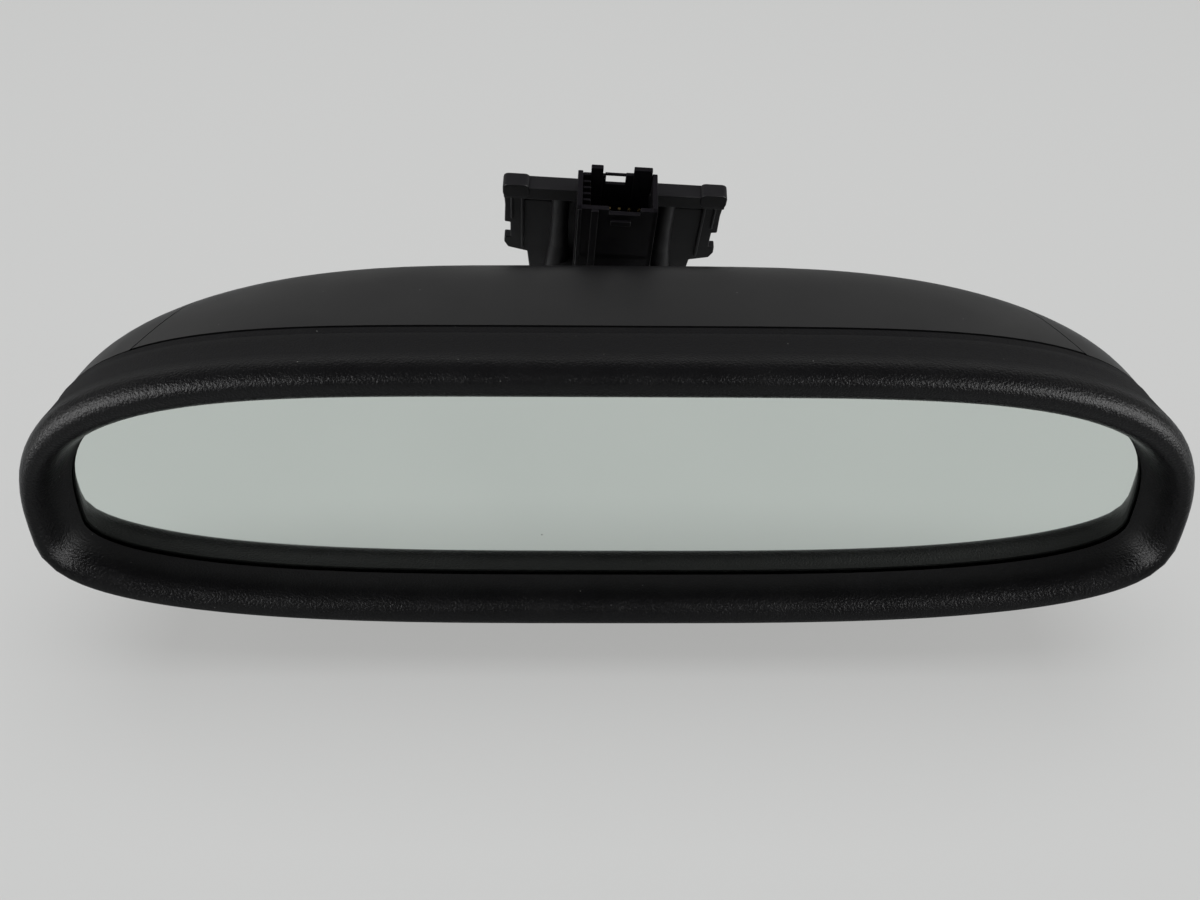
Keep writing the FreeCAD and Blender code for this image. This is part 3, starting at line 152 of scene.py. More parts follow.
windows = combined(room, "MULTIPLY", windows, eased(room, along, 0.0, 0.3, 1.0, 0.0))
room_light = combined(room, "ADD", combined(room, "ADD", far_wall, windows), DIM_ROOM)
seen = room.nodes.new("ShaderNodeLightPath").outputs["Is Camera Ray"]
unseen = combined(room, "SUBTRACT", 1.0, seen)
room_light = combined(room, "ADD", combined(room, "MULTIPLY", room_light, unseen),
                      combined(room, "MULTIPLY", seen, BACKDROP))
background = room.nodes["Background"]
background.inputs["Color"].default_value = (1.0, 1.0, BACKDROP_TINT, 1)
room.links.new(room_light, background.inputs["Strength"])
bpy.context.scene.world = world

# A ceiling panel lights the table and the colours without showing in the black surfaces. Two
# window lamps show in them only, as the soft sheen on the rim's crest.
LAMPS = {  # place, size and power of each lamp, and whether it lights the colours or the sheen
    "ceiling_panel": ((0.0, -0.02, 1.6), (2.0, 1.6), 25.0, True),
    "window_left": ((-1.00, -0.65, 0.42), (0.8, 0.8), 20.0, False),
    "window_right": ((1.00, -0.65, 0.42), (0.8, 0.8), 20.0, False),
}
LAMPS_AIM = Vector((0, -0.1, 0))
for name, (place, (wide, deep), power, lights_colours) in LAMPS.items():
    lamp_data = bpy.data.lights.new(name, "AREA")
    lamp_data.shape = "RECTANGLE"
    lamp_data.size = wide
    lamp_data.size_y = deep
    lamp_data.energy = power
    lamp = bpy.data.objects.new(name, lamp_data)
    lamp.location = place
    lamp.rotation_euler = (Vector(place) - LAMPS_AIM).to_track_quat("Z", "Y").to_euler()
    lamp.visible_diffuse = lights_colours
    lamp.visible_glossy = not lights_colours
    bpy.context.scene.collection.objects.link(lamp)

# ------------------------------------------------------------------ front bezel

# The bezel is one moulding in black thermoplastic with a fine leather grain. Its rounded bead
# frames the glass, and it clips over the rear shell's tongue along the parting line.
CLOUD_RANGE = (0.3, 0.7)  # where nearly all of a cloud's values lie
SPECK_CORE = 0.6  # share of a dust speck's radius that is fully dusty


class Finish:
    """Node material built up step by step: a colour, its wear, a roughness and a relief."""

    def __init__(self, name, colour, roughness, metallic=0.0):
        self.material = bpy.data.materials.new(name)
        self.material.use_nodes = True
        self.tree = self.material.node_tree
        self.shader = self.tree.nodes["Principled BSDF"]
        self.shader.inputs["Base Color"].default_value = (*colour, 1)
        self.shader.inputs["Roughness"].default_value = roughness
        self.shader.inputs["Metallic"].default_value = metallic
        self.place = self.node("ShaderNodeTexCoord").outputs["Object"]
        self.relief = None

    def gloss(self, level):
        """Strength of the surface reflection, lower for a finely pitted skin."""
        self.shader.inputs["Specular IOR Level"].default_value = level
        return self

    def node(self, kind, **inputs):
        """New node with some of its inputs set or linked."""
        made = self.tree.nodes.new(kind)
        for label, value in inputs.items():
            socket = made.inputs[label.replace("_", " ")]
            if isinstance(value, bpy.types.NodeSocket):
                self.tree.links.new(value, socket)
            else:
                socket.default_value = value
        return made

    def noise(self, size, detail=2.0, roughness=0.5, stretch=None):
        """Grey cloud whose patches are about size metres across."""
        place = self.place
        if stretch:
            place = self.node("ShaderNodeMapping", Vector=place, Scale=stretch).outputs["Vector"]
        return self.node("ShaderNodeTexNoise", Vector=place, Scale=1 / size, Detail=detail,
                         Roughness=roughness).outputs["Fac"]

    def cells(self, size):
        """Distance to the nearest of scattered points size metres apart."""
        made = self.node("ShaderNodeTexVoronoi", Vector=self.place, Scale=1 / size)
        return made.outputs["Distance"]

    def between(self, factor, low, high, from_low=0.0, from_high=1.0):
        """Factor mapped to a range and kept inside it."""
        return self.node("ShaderNodeMapRange", Value=factor, From_Min=from_low, From_Max=from_high,
                         To_Min=low, To_Max=high).outputs["Result"]

    def colour_mix(self, factor, first, second):
        """Base colour that turns from the first colour to the second with the factor."""
        ramp = self.tree.nodes.new("ShaderNodeValToRGB")
        ramp.color_ramp.elements[0].color = (*first, 1)
        ramp.color_ramp.elements[1].color = (*second, 1)
        self.tree.links.new(factor, ramp.inputs["Fac"])
        self.tree.links.new(ramp.outputs["Color"], self.shader.inputs["Base Color"])
        return self

    def dust(self, spacing, reach):
        """Pale specks about spacing metres apart, their radius being reach times the spacing."""
        speck = self.between(self.cells(spacing), 1.0, 0.0, reach * SPECK_CORE, reach)
        base = self.shader.inputs["Base Color"].links[0].from_socket
        mixed = self.node("ShaderNodeMix", Factor=speck)
        mixed.data_type = "RGBA"
        clean, dusty = (socket for socket in mixed.inputs if socket.type == "RGBA")
        self.tree.links.new(base, clean)
        dusty.default_value = (0.22, 0.22, 0.21, 1)
        shown = next(socket for socket in mixed.outputs if socket.type == "RGBA")
        self.tree.links.new(shown, self.shader.inputs["Base Color"])
        return self

    def rough(self, factor, low, high):
        """Roughness that wanders between two values."""
        wandering = self.between(factor, low, high, *CLOUD_RANGE)
        self.tree.links.new(wandering, self.shader.inputs["Roughness"])
        return self

    def bump(self, height, depth, strength=1.0):
        """Relief of a depth in metres, over any relief already there."""
        made = self.node("ShaderNodeBump", Height=height, Distance=depth, Strength=strength)
        if self.relief:
            self.tree.links.new(self.relief, made.inputs["Normal"])
        self.relief = made.outputs["Normal"]
        self.tree.links.new(self.relief, self.shader.inputs["Normal"])
        return self


MERGE_DISTANCE = 2e-6
SHARP_ANGLE = math.radians(32.0)


def shape_of(node):
    """Mesh under construction with a CAD node's shape, its corners joined."""
    bm = bmesh.new()
    bm.from_mesh(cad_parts[node].data)
    bmesh.ops.remove_doubles(bm, verts=bm.verts, dist=MERGE_DISTANCE)
    return bm


def finished(bm, name, body, material, *nodes):
    """Piece from a mesh: smooth up to its sharp edges, riding on a body, standing for CAD nodes."""
    for face in bm.faces:
        face.smooth = True
    for edge in bm.edges:
        edge.smooth = len(edge.link_faces) == 2 and edge.calc_face_angle(0) < SHARP_ANGLE
    mesh = bpy.data.meshes.new(name)
    bm.to_mesh(mesh)
    bm.free()
    mesh.materials.append(material)
    piece = bpy.data.objects.new(name, mesh)
    bpy.context.scene.collection.objects.link(piece)
    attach(piece, body)
    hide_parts(*nodes)
    return piece


# The skin is matt on the wall behind the rim. On the crest, where hands rub it, it shines more.
glass_low, glass_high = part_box("front_glass")
glass_front = glass_low.y
CREST_ROUGHNESS, WALL_ROUGHNESS, WANDER = 0.34, 0.80, 0.04
CREST_LEVEL, WALL_LEVEL = -0.0068, -0.0015  # along Y from the front of the glass
GRAIN_SIZE, GRAIN_DEPTH = 0.00055, 0.00030
grain = Finish("grained_black", (0.007, 0.007, 0.008), 0.45)
clouds = grain.noise(0.012, 3.0)
grain.bump(grain.noise(GRAIN_SIZE, 2.0, 0.6), GRAIN_DEPTH, 0.66)
depth = grain.node("ShaderNodeSeparateXYZ", Vector=grain.place).outputs["Y"]
handled = grain.between(depth, CREST_ROUGHNESS, WALL_ROUGHNESS,
                        glass_front + CREST_LEVEL, glass_front + WALL_LEVEL)
uneven = combined(grain.tree, "ADD", handled,
                  grain.between(clouds, -WANDER, WANDER, *CLOUD_RANGE))
grain.tree.links.new(uneven, grain.shader.inputs["Roughness"])
grain.gloss(0.16)
grain.shader.distribution = "GGX"
grain.colour_mix(clouds, (0.0028, 0.0027, 0.0032), (0.0042, 0.0041, 0.0047)).dust(0.0042, 0.03)

# The opening is an oval of two halves, each with its own powers across and up. The glass reaches
# past it all round.
GLASS_OVERLAP = 0.003
OPENING_BOTTOM = 0.0161
opening_middle = Vector(((glass_low.x + glass_high.x) / 2, glass_front,
                         glass_low.z + GLASS_OVERLAP + OPENING_BOTTOM))
opening_half_width = (glass_high.x - glass_low.x) / 2 - GLASS_OVERLAP
opening_top = glass_high.z - GLASS_OVERLAP - opening_middle.z
UPPER_POWERS, LOWER_POWERS = (4.83, 2.94), (3.33, 2.15)
STATIONS = 264
DENSE_STEPS = 2000
HALVINGS = 34  # each halves the doubt about how far out the oval lies


def opening_outline():
    """Evenly spaced points of the mirror opening's outline, as X and Z about its middle."""
    dense = []
    for step in range(DENSE_STEPS + 1):
        turn = math.tau * step / DENSE_STEPS
        across, up = math.cos(turn), math.sin(turn)
        across_power, up_power = UPPER_POWERS if up >= 0 else LOWER_POWERS
        low, high = 0.5, 1.6  # one surely inside the oval, one surely outside
        for _ in range(HALVINGS):
            middle = (low + high) / 2
            if abs(middle * across) ** across_power + abs(middle * up) ** up_power < 1:
                low = middle
            else:
                high = middle
        reach = opening_top if up >= 0 else OPENING_BOTTOM
        dense.append(Vector((opening_half_width * across * low, 0, reach * up * low)))
    lengths = [0.0]
    for first, second in zip(dense, dense[1:]):
        lengths.append(lengths[-1] + (second - first).length)
    points = []
    index = 0
    for station in range(STATIONS):
        wanted = lengths[-1] * station / STATIONS
        while lengths[index + 1] < wanted:
            index += 1
        share = (wanted - lengths[index]) / (lengths[index + 1] - lengths[index])
        points.append(dense[index].lerp(dense[index + 1], share))
    return points


# The bezel's section runs from the seam forward over the wall and the bead, down the throat to the
# glass and back inside. Reaches run outwards from the opening, levels along Y from the glass.
PARTING_LEVEL = 0.014
SEAM_CHAMFER = 0.00022
RIM_LEVEL = -0.0058
WALL_LEVELS = (0.0137, 0.0120, 0.0095, 0.0070, 0.0045, 0.0020, -0.0005, -0.0030, RIM_LEVEL)
RIDGE_ANGLES = (15, 30, 45, 60, 75, 90)
# Reach and level along the top and bottom, then at the ends: of the bead's crest, of the throat,
# and of the pull that each has on the curve between them.
CREST, THROAT = ((0.0052, -0.0110), (0.0058, -0.0106)), ((0.0003, -0.0052), (0.0009, -0.0030))
CREST_PULL, THROAT_PULL = ((-0.0033, 0), (-0.0020, 0)), ((0.0001, -0.0036), (0.0016, -0.0024))
THROAT_STEPS = 9
GLASS_GAP = 0.00055
LIP_EDGE = ((0.0001, -0.00085), (0.00035, -GLASS_GAP))
LIP_UNDERSIDE = ((0.0024, -GLASS_GAP), (0.0026, -0.00005), (0.0031, -0.0018), (0.0054, -0.0036))
SKIN_THICKNESS = 0.0024
INNER_LEVELS = (0.0, 0.0070)
LOOK_FROM, LOOK_LENGTH = 0.03, 0.04  # of the ray that finds the CAD skin from outside
INSIDE_END = 0.00005  # keeps that ray off the skin's end face


def mix(first, second, share):
    """Value a share of the way from the first to the second."""
    return first + (second - first) * share


def blended(along, ends, side):
    """Reach and level for a side from nought, along the top and bottom, to one, at the ends."""
    return Vector((mix(along[0], ends[0], side), mix(along[1], ends[1], side)))


def rim_section(station, outwards, skin):
    """Reaches and levels of the section at one station, from the seam round to the inside."""
    side = outwards.x ** 2

    def skin_reach(level):
        """How far out the CAD skin lies at a level."""
        start = opening_middle + station + outwards * LOOK_FROM + Vector((0, level, 0))
        return LOOK_FROM - skin.ray_cast(start, -outwards, LOOK_LENGTH)[3]

    section = [(skin_reach(PARTING_LEVEL - INSIDE_END) - SEAM_CHAMFER, PARTING_LEVEL)]
    section += [(skin_reach(level), level) for level in WALL_LEVELS]
    edge = section[-1][0]
    crest, throat = blended(*CREST, side), blended(*THROAT, side)
    for angle in RIDGE_ANGLES:
        turn = math.radians(angle)
        section.append((mix(edge, crest.x, 1 - math.cos(turn)),
                        mix(RIM_LEVEL, crest.y, math.sin(turn))))
    leaving = crest + blended(*CREST_PULL, side)
    entering = throat + blended(*THROAT_PULL, side)
    for step in range(1, THROAT_STEPS + 1):
        share = step / THROAT_STEPS
        rest = 1 - share
        place = (crest * rest ** 3 + leaving * 3 * rest ** 2 * share
                 + entering * 3 * rest * share ** 2 + throat * share ** 3)
        section.append(tuple(place))
    section += [tuple(throat * 0.5), *LIP_EDGE, *LIP_UNDERSIDE]
    section += [(skin_reach(level) - SKIN_THICKNESS, level) for level in INNER_LEVELS]
    section.append((section[0][0] - SKIN_THICKNESS, PARTING_LEVEL))
    return section


cad_skin = shape_of("front_bezel")
skin = BVHTree.FromBMesh(cad_skin)
cad_skin.free()
outline = opening_outline()
bm = bmesh.new()
rings = []
for index, station in enumerate(outline):
    along = outline[(index + 1) % STATIONS] - outline[index - 1]
    outwards = Vector((along.z, 0, -along.x)).normalized()
    rings.append([bm.verts.new(opening_middle + station + outwards * reach + Vector((0, level, 0)))
                  for reach, level in rim_section(station, outwards, skin)])
for ring, following in zip(rings, rings[1:] + rings[:1]):
    for corner in range(len(ring)):
        bm.faces.new((ring[corner - 1], ring[corner], following[corner], following[corner - 1]))
bmesh.ops.recalc_face_normals(bm, faces=bm.faces)
bezel = finished(bm, "bezel", "head", grain.material, "front_bezel")

# ------------------------------------------------------------------ rear shell and top cover

# The rear shell is a smooth satin moulding in the same black. The top cover is a separate panel
# let into it, with a thin open seam all round, and carries the same satin texture.
satin = Finish("satin_black", (0.010, 0.010, 0.011), 0.42)
clouds = satin.noise(0.03, 3.0)
satin.bump(satin.noise(0.00022, 2.0), 0.00002, 0.5)
satin.rough(clouds, 0.40, 0.48).gloss(0.42)
satin.colour_mix(clouds, (0.0050, 0.0050, 0.0055), (0.0070, 0.0070, 0.0076)).dust(0.006, 0.025)
no_glare = bpy.data.collections.new("no_glare")
for node, name in (("rear_shell", "housing_back"), ("top_cover", "cover_panel")):
    piece = finished(shape_of(node), name, "head", satin.material, node)
    no_glare.objects.link(piece)

# ------------------------------------------------------------------ glass

# The dimming glass is two thin sheets with gel between. The rear sheet carries the reflector, so
# the cell looks like one mirror with a faint green cast, a few smudges and specks of dust.
mirror = Finish("mirror_glass", (0.76, 0.81, 0.77), 0.02, 1.0)
mirror.rough(mirror.noise(0.02, 4.0), 0.015, 0.05)
mirror.colour_mix(mirror.noise(0.045, 3.0), (0.75, 0.80, 0.755), (0.80, 0.85, 0.80))
mirror.dust(0.028, 0.010)
piece = finished(shape_of("front_glass"), "mirror_face", "head", mirror.material, "front_glass")
no_glare.objects.link(piece)

# The window lamps draw the sheen of the grained rim. They would glare on the satin from the side,
# and the glass would throw their light on the table.
for link in no_glare.collection_objects:
    link.light_linking.link_state = "EXCLUDE"
for name in ("window_left", "window_right"):
    bpy.data.objects[name].light_linking.receiver_collection = no_glare


def paint(finish, *nodes):
    """Give CAD nodes that keep their own shape a finish."""
    for node in nodes:
        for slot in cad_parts[node].material_slots:
            slot.material = finish.material


back_glass = Finish("back_glass", (0.70, 0.73, 0.72), 0.05, 1.0)
back_glass.rough(back_glass.noise(0.01, 3.0), 0.04, 0.10)
paint(back_glass, "rear_glass")
gel = Finish("dimming_gel", (0.62, 0.72, 0.68), 0.08)
gel.shader.inputs["Transmission Weight"].default_value = 0.6
gel.rough(gel.noise(0.004, 2.0), 0.05, 0.14)
paint(gel, "gel_layer")
epoxy = Finish("seal_epoxy", (0.035, 0.035, 0.034), 0.38)
epoxy.bump(epoxy.noise(0.0015, 3.0), 0.00004)
epoxy.colour_mix(epoxy.noise(0.003), (0.028, 0.028, 0.027), (0.05, 0.05, 0.048))
paint(epoxy, "edge_seal")
clip_metal = Finish("tinned_strip", (0.60, 0.55, 0.42), 0.28, 1.0)
clip_metal.rough(clip_metal.noise(0.002, 3.0), 0.22, 0.40)
clip_metal.bump(clip_metal.noise(0.0006, 2.0, stretch=(0.05, 1, 1)), 0.00001)
paint(clip_metal, "bus_clip_top", "bus_clip_bottom")

# ------------------------------------------------------------------ glass carrier and its pad

# The carrier is an unpainted black moulding that the glass is stuck to with a sheet of foam tape.
# It carries the bosses for the ball joint and the circuit board.
foam = Finish("foam_tape", (0.022, 0.022, 0.024), 0.9)
foam.bump(foam.cells(0.0004), 0.00015, 0.8)
foam.colour_mix(foam.cells(0.0004), (0.012, 0.012, 0.013), (0.035, 0.035, 0.037))
paint(foam, "adhesive_pad")
moulding = Finish("carrier_black", (0.020, 0.020, 0.021), 0.5)
moulding.rough(moulding.noise(0.006, 3.0), 0.42, 0.58)
moulding.bump(moulding.noise(0.0005, 2.0), 0.00003)
moulding.colour_mix(moulding.noise(0.02, 4.0), (0.016, 0.016, 0.017), (0.027, 0.027, 0.028))
paint(moulding, "glass_carrier")

# ------------------------------------------------------------------ circuit board

# A green board with the dimming circuit stands on four bosses of the carrier, held by four zinc
# screws. It carries a controller, capacitors, a coil, resistors and the header of the wires.
board = Finish("board_green", (0.012, 0.10, 0.045), 0.32)
tracks = board.node("ShaderNodeTexBrick", Vector=board.place, Scale=140.0, Mortar_Size=0.06)
board.colour_mix(tracks.outputs["Fac"], (0.010, 0.085, 0.038), (0.020, 0.15, 0.07))
board.bump(tracks.outputs["Fac"], 0.00004, 0.6)
board.rough(board.noise(0.003), 0.28, 0.38)
paint(board, "circuit_board")
chip = Finish("chip_black", (0.012, 0.012, 0.013), 0.5)
chip.bump(chip.noise(0.0002), 0.00001, 0.6)
chip.colour_mix(chip.noise(0.002), (0.010, 0.010, 0.011), (0.018, 0.018, 0.019))
paint(chip, "controller_chip", "ambient_sensor", "glare_sensor")
cans = Finish("component_cans", (0.34, 0.34, 0.36), 0.35, 0.7)
cans.rough(cans.noise(0.0015), 0.28, 0.45)
cans.bump(cans.noise(0.0004), 0.00001)
paint(cans, "board_parts")
nylon = Finish("natural_nylon", (0.60, 0.58, 0.52), 0.42)
nylon.shader.inputs["Subsurface Weight"].default_value = 0.1
nylon.bump(nylon.noise(0.0006), 0.00002)
nylon.colour_mix(nylon.noise(0.004, 3.0), (0.56, 0.54, 0.48), (0.66, 0.64, 0.58))
paint(nylon, "board_header", "harness_plug")
zinc = Finish("zinc_steel", (0.58, 0.58, 0.60), 0.3, 1.0)
zinc.rough(zinc.noise(0.0012, 3.0), 0.24, 0.42)
zinc.bump(zinc.noise(0.0003, 2.0), 0.00001)
zinc.colour_mix(zinc.noise(0.002, 3.0), (0.52, 0.52, 0.54), (0.66, 0.66, 0.67))
paint(zinc, "board_screws", "pivot_screws", "foot_screws", "spring_plate")

# ------------------------------------------------------------------ light sensors

# Smoked plastic windows let light reach the two sensors. The ambient one looks ahead, past the
# arm, from the housing's rear wall. The glare one lies in the rim's lower ledge, by the glass.
smoked = Finish("smoked_lens", (0.010, 0.009, 0.012), 0.08)
smoked.shader.inputs["Coat Weight"].default_value = 0.4
smoked.rough(smoked.noise(0.0015), 0.06, 0.14)
paint(smoked, "ambient_lens")
lens_low, lens_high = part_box("glare_lens")
WINDOW_DEPTH_SHARE = 0.8  # of the CAD window's depth
WINDOW_THICKNESS = 0.0007
WINDOW_SET_DOWN = 0.0001
WINDOW_ROUNDING = 0.00025
window_size = (lens_high.x - lens_low.x, (lens_high.y - lens_low.y) * WINDOW_DEPTH_SHARE,
               WINDOW_THICKNESS)
window_middle = (lens_low + lens_high) / 2
window_middle.z = lens_high.z - WINDOW_THICKNESS / 2 - WINDOW_SET_DOWN
bm = bmesh.new()
bmesh.ops.create_cube(bm, size=1.0)
bmesh.ops.transform(bm, verts=bm.verts,
                    matrix=Matrix.Translation(window_middle) @ Matrix.Diagonal((*window_size, 1)))
bmesh.ops.bevel(bm, geom=bm.edges[:], offset=WINDOW_ROUNDING, segments=3, affect="EDGES",
                profile=0.5, material=-1)
finished(bm, "glare_window", "head", smoked.material, "glare_lens")

# ------------------------------------------------------------------ ball joint

# The ball sits between two rings of natural acetal inside a die-cast cup. A cone spring on a
# zinc-plated plate presses the rings on it, and four screws hold the stack to the carrier.
cast = Finish("die_cast", (0.50, 0.50, 0.515), 0.45, 0.9)
cast.rough(cast.noise(0.0012, 4.0), 0.36, 0.60)
cast.bump(cast.noise(0.0007, 4.0), 0.00005, 0.8)
cast.colour_mix(cast.noise(0.008, 4.0), (0.42, 0.42, 0.435), (0.56, 0.56, 0.57))
paint(cast, "pivot_housing")
acetal = Finish("seat_plastic", (0.62, 0.61, 0.56), 0.35)
acetal.bump(acetal.noise(0.0008), 0.00002)
acetal.colour_mix(acetal.noise(0.003), (0.58, 0.57, 0.52), (0.67, 0.66, 0.61))
paint(acetal, "ball_seat_rear", "ball_seat_front")
spring = Finish("spring_steel", (0.42, 0.42, 0.43), 0.26, 1.0)
spring.rough(spring.noise(0.001, 3.0), 0.2, 0.36)
spring.bump(spring.noise(0.0003), 0.00001)
paint(spring, "seat_spring", "foot_spring")

# ------------------------------------------------------------------ arm

# The arm is one alloy casting, powder coated black: a square flange screwed to the foot, a bent
# round arm with the wires inside it, a slim neck, and the ball that the rings hold.
powder = Finish("arm_black", (0.014, 0.014, 0.015), 0.42)
powder.bump(powder.noise(0.0007, 3.0), 0.00006, 0.7)
powder.rough(powder.noise(0.004, 3.0), 0.34, 0.5)
powder.colour_mix(powder.noise(0.006, 4.0), (0.011, 0.011, 0.012), (0.019, 0.019, 0.020))
arm = finished(shape_of("ball_arm"), "arm", "mount", powder.material, "ball_arm")

# ------------------------------------------------------------------ foot

# The foot is a phosphated steel block with an undercut channel, which slides down over the button
# bonded to the windscreen. A leaf spring takes up the play and two screws hold the arm to it.
phosphate = Finish("foot_metal", (0.075, 0.075, 0.078), 0.5, 0.6)
phosphate.rough(phosphate.noise(0.0015, 4.0), 0.42, 0.62)
phosphate.bump(phosphate.noise(0.0004, 3.0), 0.00003)
phosphate.colour_mix(phosphate.noise(0.003, 4.0), (0.055, 0.055, 0.058), (0.11, 0.11, 0.112))
EDGE_ANGLE = math.radians(38.0)
FLATNESS = math.radians(0.6)


def softened(piece, width, segments=2):
    """Round the sharp edges of a piece by a small radius, as a mould or a tumbler leaves them."""
    rounding = piece.modifiers.new("edge_rounding", "BEVEL")
    rounding.width = width
    rounding.segments = segments
    rounding.limit_method = "ANGLE"
    rounding.angle_limit = EDGE_ANGLE
    rounding.harden_normals = True
    return piece


bm = shape_of("mount_foot")
bmesh.ops.dissolve_limit(bm, angle_limit=FLATNESS, verts=bm.verts, edges=bm.edges)
foot = softened(finished(bm, "foot", "mount", phosphate.material, "mount_foot"), 0.0004)

# ------------------------------------------------------------------ bracket

# The bracket is a ribbed moulding screwed between arm and foot. Its folded sides, band and round
# columns guide the trim cover, and it carries the connector in the gap of the band.
rough_black = Finish("bracket_black", (0.010, 0.0095, 0.011), 0.45)
rough_black.bump(rough_black.noise(0.00035, 2.0), 0.00003, 0.6)
rough_black.rough(rough_black.noise(0.005, 3.0), 0.38, 0.52).gloss(0.25)
rough_black.colour_mix(rough_black.noise(0.008, 4.0),
                       (0.008, 0.0075, 0.009), (0.013, 0.0125, 0.014))
MOUNT = (Matrix.Rotation(math.radians(3), 4, "Y") @ Matrix.Rotation(math.radians(25), 4, "X")
         @ Matrix.Scale(0.001, 4))  # sizes of the mount are in millimetres, square to its plate


def slab(bm, corners, front, back, rounding=0.0):
    """Flat piece with an outline in the mount's plate plane, its outline's corners rounded."""
    outline = bm.faces.new([bm.verts.new((x, back, z)) for x, z in corners])
    if rounding:
        made = bmesh.ops.bevel(bm, geom=outline.verts[:], offset=rounding, segments=3,
                               affect="VERTICES", profile=0.5, material=-1)
        around = {face for vert in made["verts"] for face in vert.link_faces}
        outline = max(around, key=lambda face: face.calc_area())
    made = bmesh.ops.extrude_face_region(bm, geom=[outline])
    moved = [part for part in made["geom"] if isinstance(part, bmesh.types.BMVert)]
    bmesh.ops.translate(bm, verts=moved, vec=(0, front - back, 0))


def block(bm, left, low, right, high, front, back, rounding=0.0):
    """Slab with an upright rectangle for its outline."""
    slab(bm, ((left, low), (right, low), (right, high), (left, high)), front, back, rounding)


def round_bar(bm, place, rings):
    """Upright round bar at a place in X and Y; each ring is a height and a radius."""
    made = bmesh.ops.create_circle(bm, cap_ends=True, segments=24, radius=rings[0][1])
    bmesh.ops.translate(bm, verts=made["verts"], vec=(*place, rings[0][0]))
    top = max(made["verts"][0].link_faces, key=lambda face: face.calc_area())
    for (low, _), (high, radius) in zip(rings, rings[1:]):
        grown = bmesh.ops.extrude_face_region(bm, geom=[top])
        verts = [part for part in grown["geom"] if isinstance(part, bmesh.types.BMVert)]
        top = next(part for part in grown["geom"] if isinstance(part, bmesh.types.BMFace))
        bmesh.ops.translate(bm, verts=verts, vec=(0, 0, high - low))
        for vert in verts:
            away = vert.co - Vector((*place, vert.co.z))
            vert.co += away.normalized() * radius - away


def mount_mesh(bm, shift):
    """Set a mesh in millimetres into the mount, shifted along X."""
    bmesh.ops.recalc_face_normals(bm, faces=bm.faces)
    bmesh.ops.translate(bm, verts=bm.verts, vec=(shift, 0, 0))
    bmesh.ops.transform(bm, matrix=MOUNT, verts=bm.verts)


PLATE_FRONT, PLATE_BACK, BAND_FRONT = -11.5, -9.0, -13.4
SIDE_OUTLINE = ((13.5, -21), (21.6, 4.5), (22.2, 11.0), (27.4, 12.4), (28.4, 14.5), (28.3, 16.8),
                (26.7, 16.8), (26.7, 22.4), (28.2, 22.6), (28.0, 29.0), (28.3, 33.6), (22.9, 33.6),
                (22.9, 31.5), (11.0, 31.5), (11.0, 33.6), (8.6, 33.6), (8.6, 31.0))
STRIPS = (  # near X, low Z, far X, high Z, front, back and rounding of what stands on each side
    (8.6, 33.7, 28.2, 37.8, BAND_FRONT, PLATE_BACK, 0.0),  # band
    (21.6, 34.4, 28.4, 38.9, BAND_FRONT - 0.2, PLATE_BACK - 0.4, 1.3),  # raised end of the band
    (10.0, 27.0, 24.0, 36.0, PLATE_BACK + 0.5, PLATE_BACK + 1.5, 0.0),  # wall behind the slot
    (23.0, 13.2, 23.9, 33.8, PLATE_FRONT - 0.7, PLATE_FRONT + 0.4, 0.0),  # long rib
    (25.9, 24.5, 26.6, 33.8, PLATE_FRONT - 0.6, PLATE_FRONT + 0.4, 0.0),  # short rib
    (9.6, 27.0, 24.0, 28.8, PLATE_BACK - 0.5, PLATE_BACK + 5.0, 0.0),  # ledge to the rear
)
COLUMN_X, COLUMN_Y = 13.7, -11.1
COLUMN_RINGS = ((4.5, 3.9), (9.0, 3.4), (16.0, 2.6), (24.0, 2.3), (34.4, 2.3))  # tapers upwards
BRACKET_SHIFT = -0.5  # the ribbed part sits this much off the foot's middle
bm = bmesh.new()
slab(bm, (*SIDE_OUTLINE, *((-x, z) for x, z in reversed(SIDE_OUTLINE))), PLATE_FRONT, PLATE_BACK)
for side in (-1, 1):
    for near, low, far, *rest in STRIPS:
        left, right = sorted((side * near, side * far))
        block(bm, left, low, right, *rest)
    round_bar(bm, (side * COLUMN_X, COLUMN_Y), COLUMN_RINGS)
mount_mesh(bm, BRACKET_SHIFT)
bracket = finished(bm, "bracket", "mount", rough_black.material, "bracket_body")
softened(bracket, 0.0006, 3)

# ------------------------------------------------------------------ connector

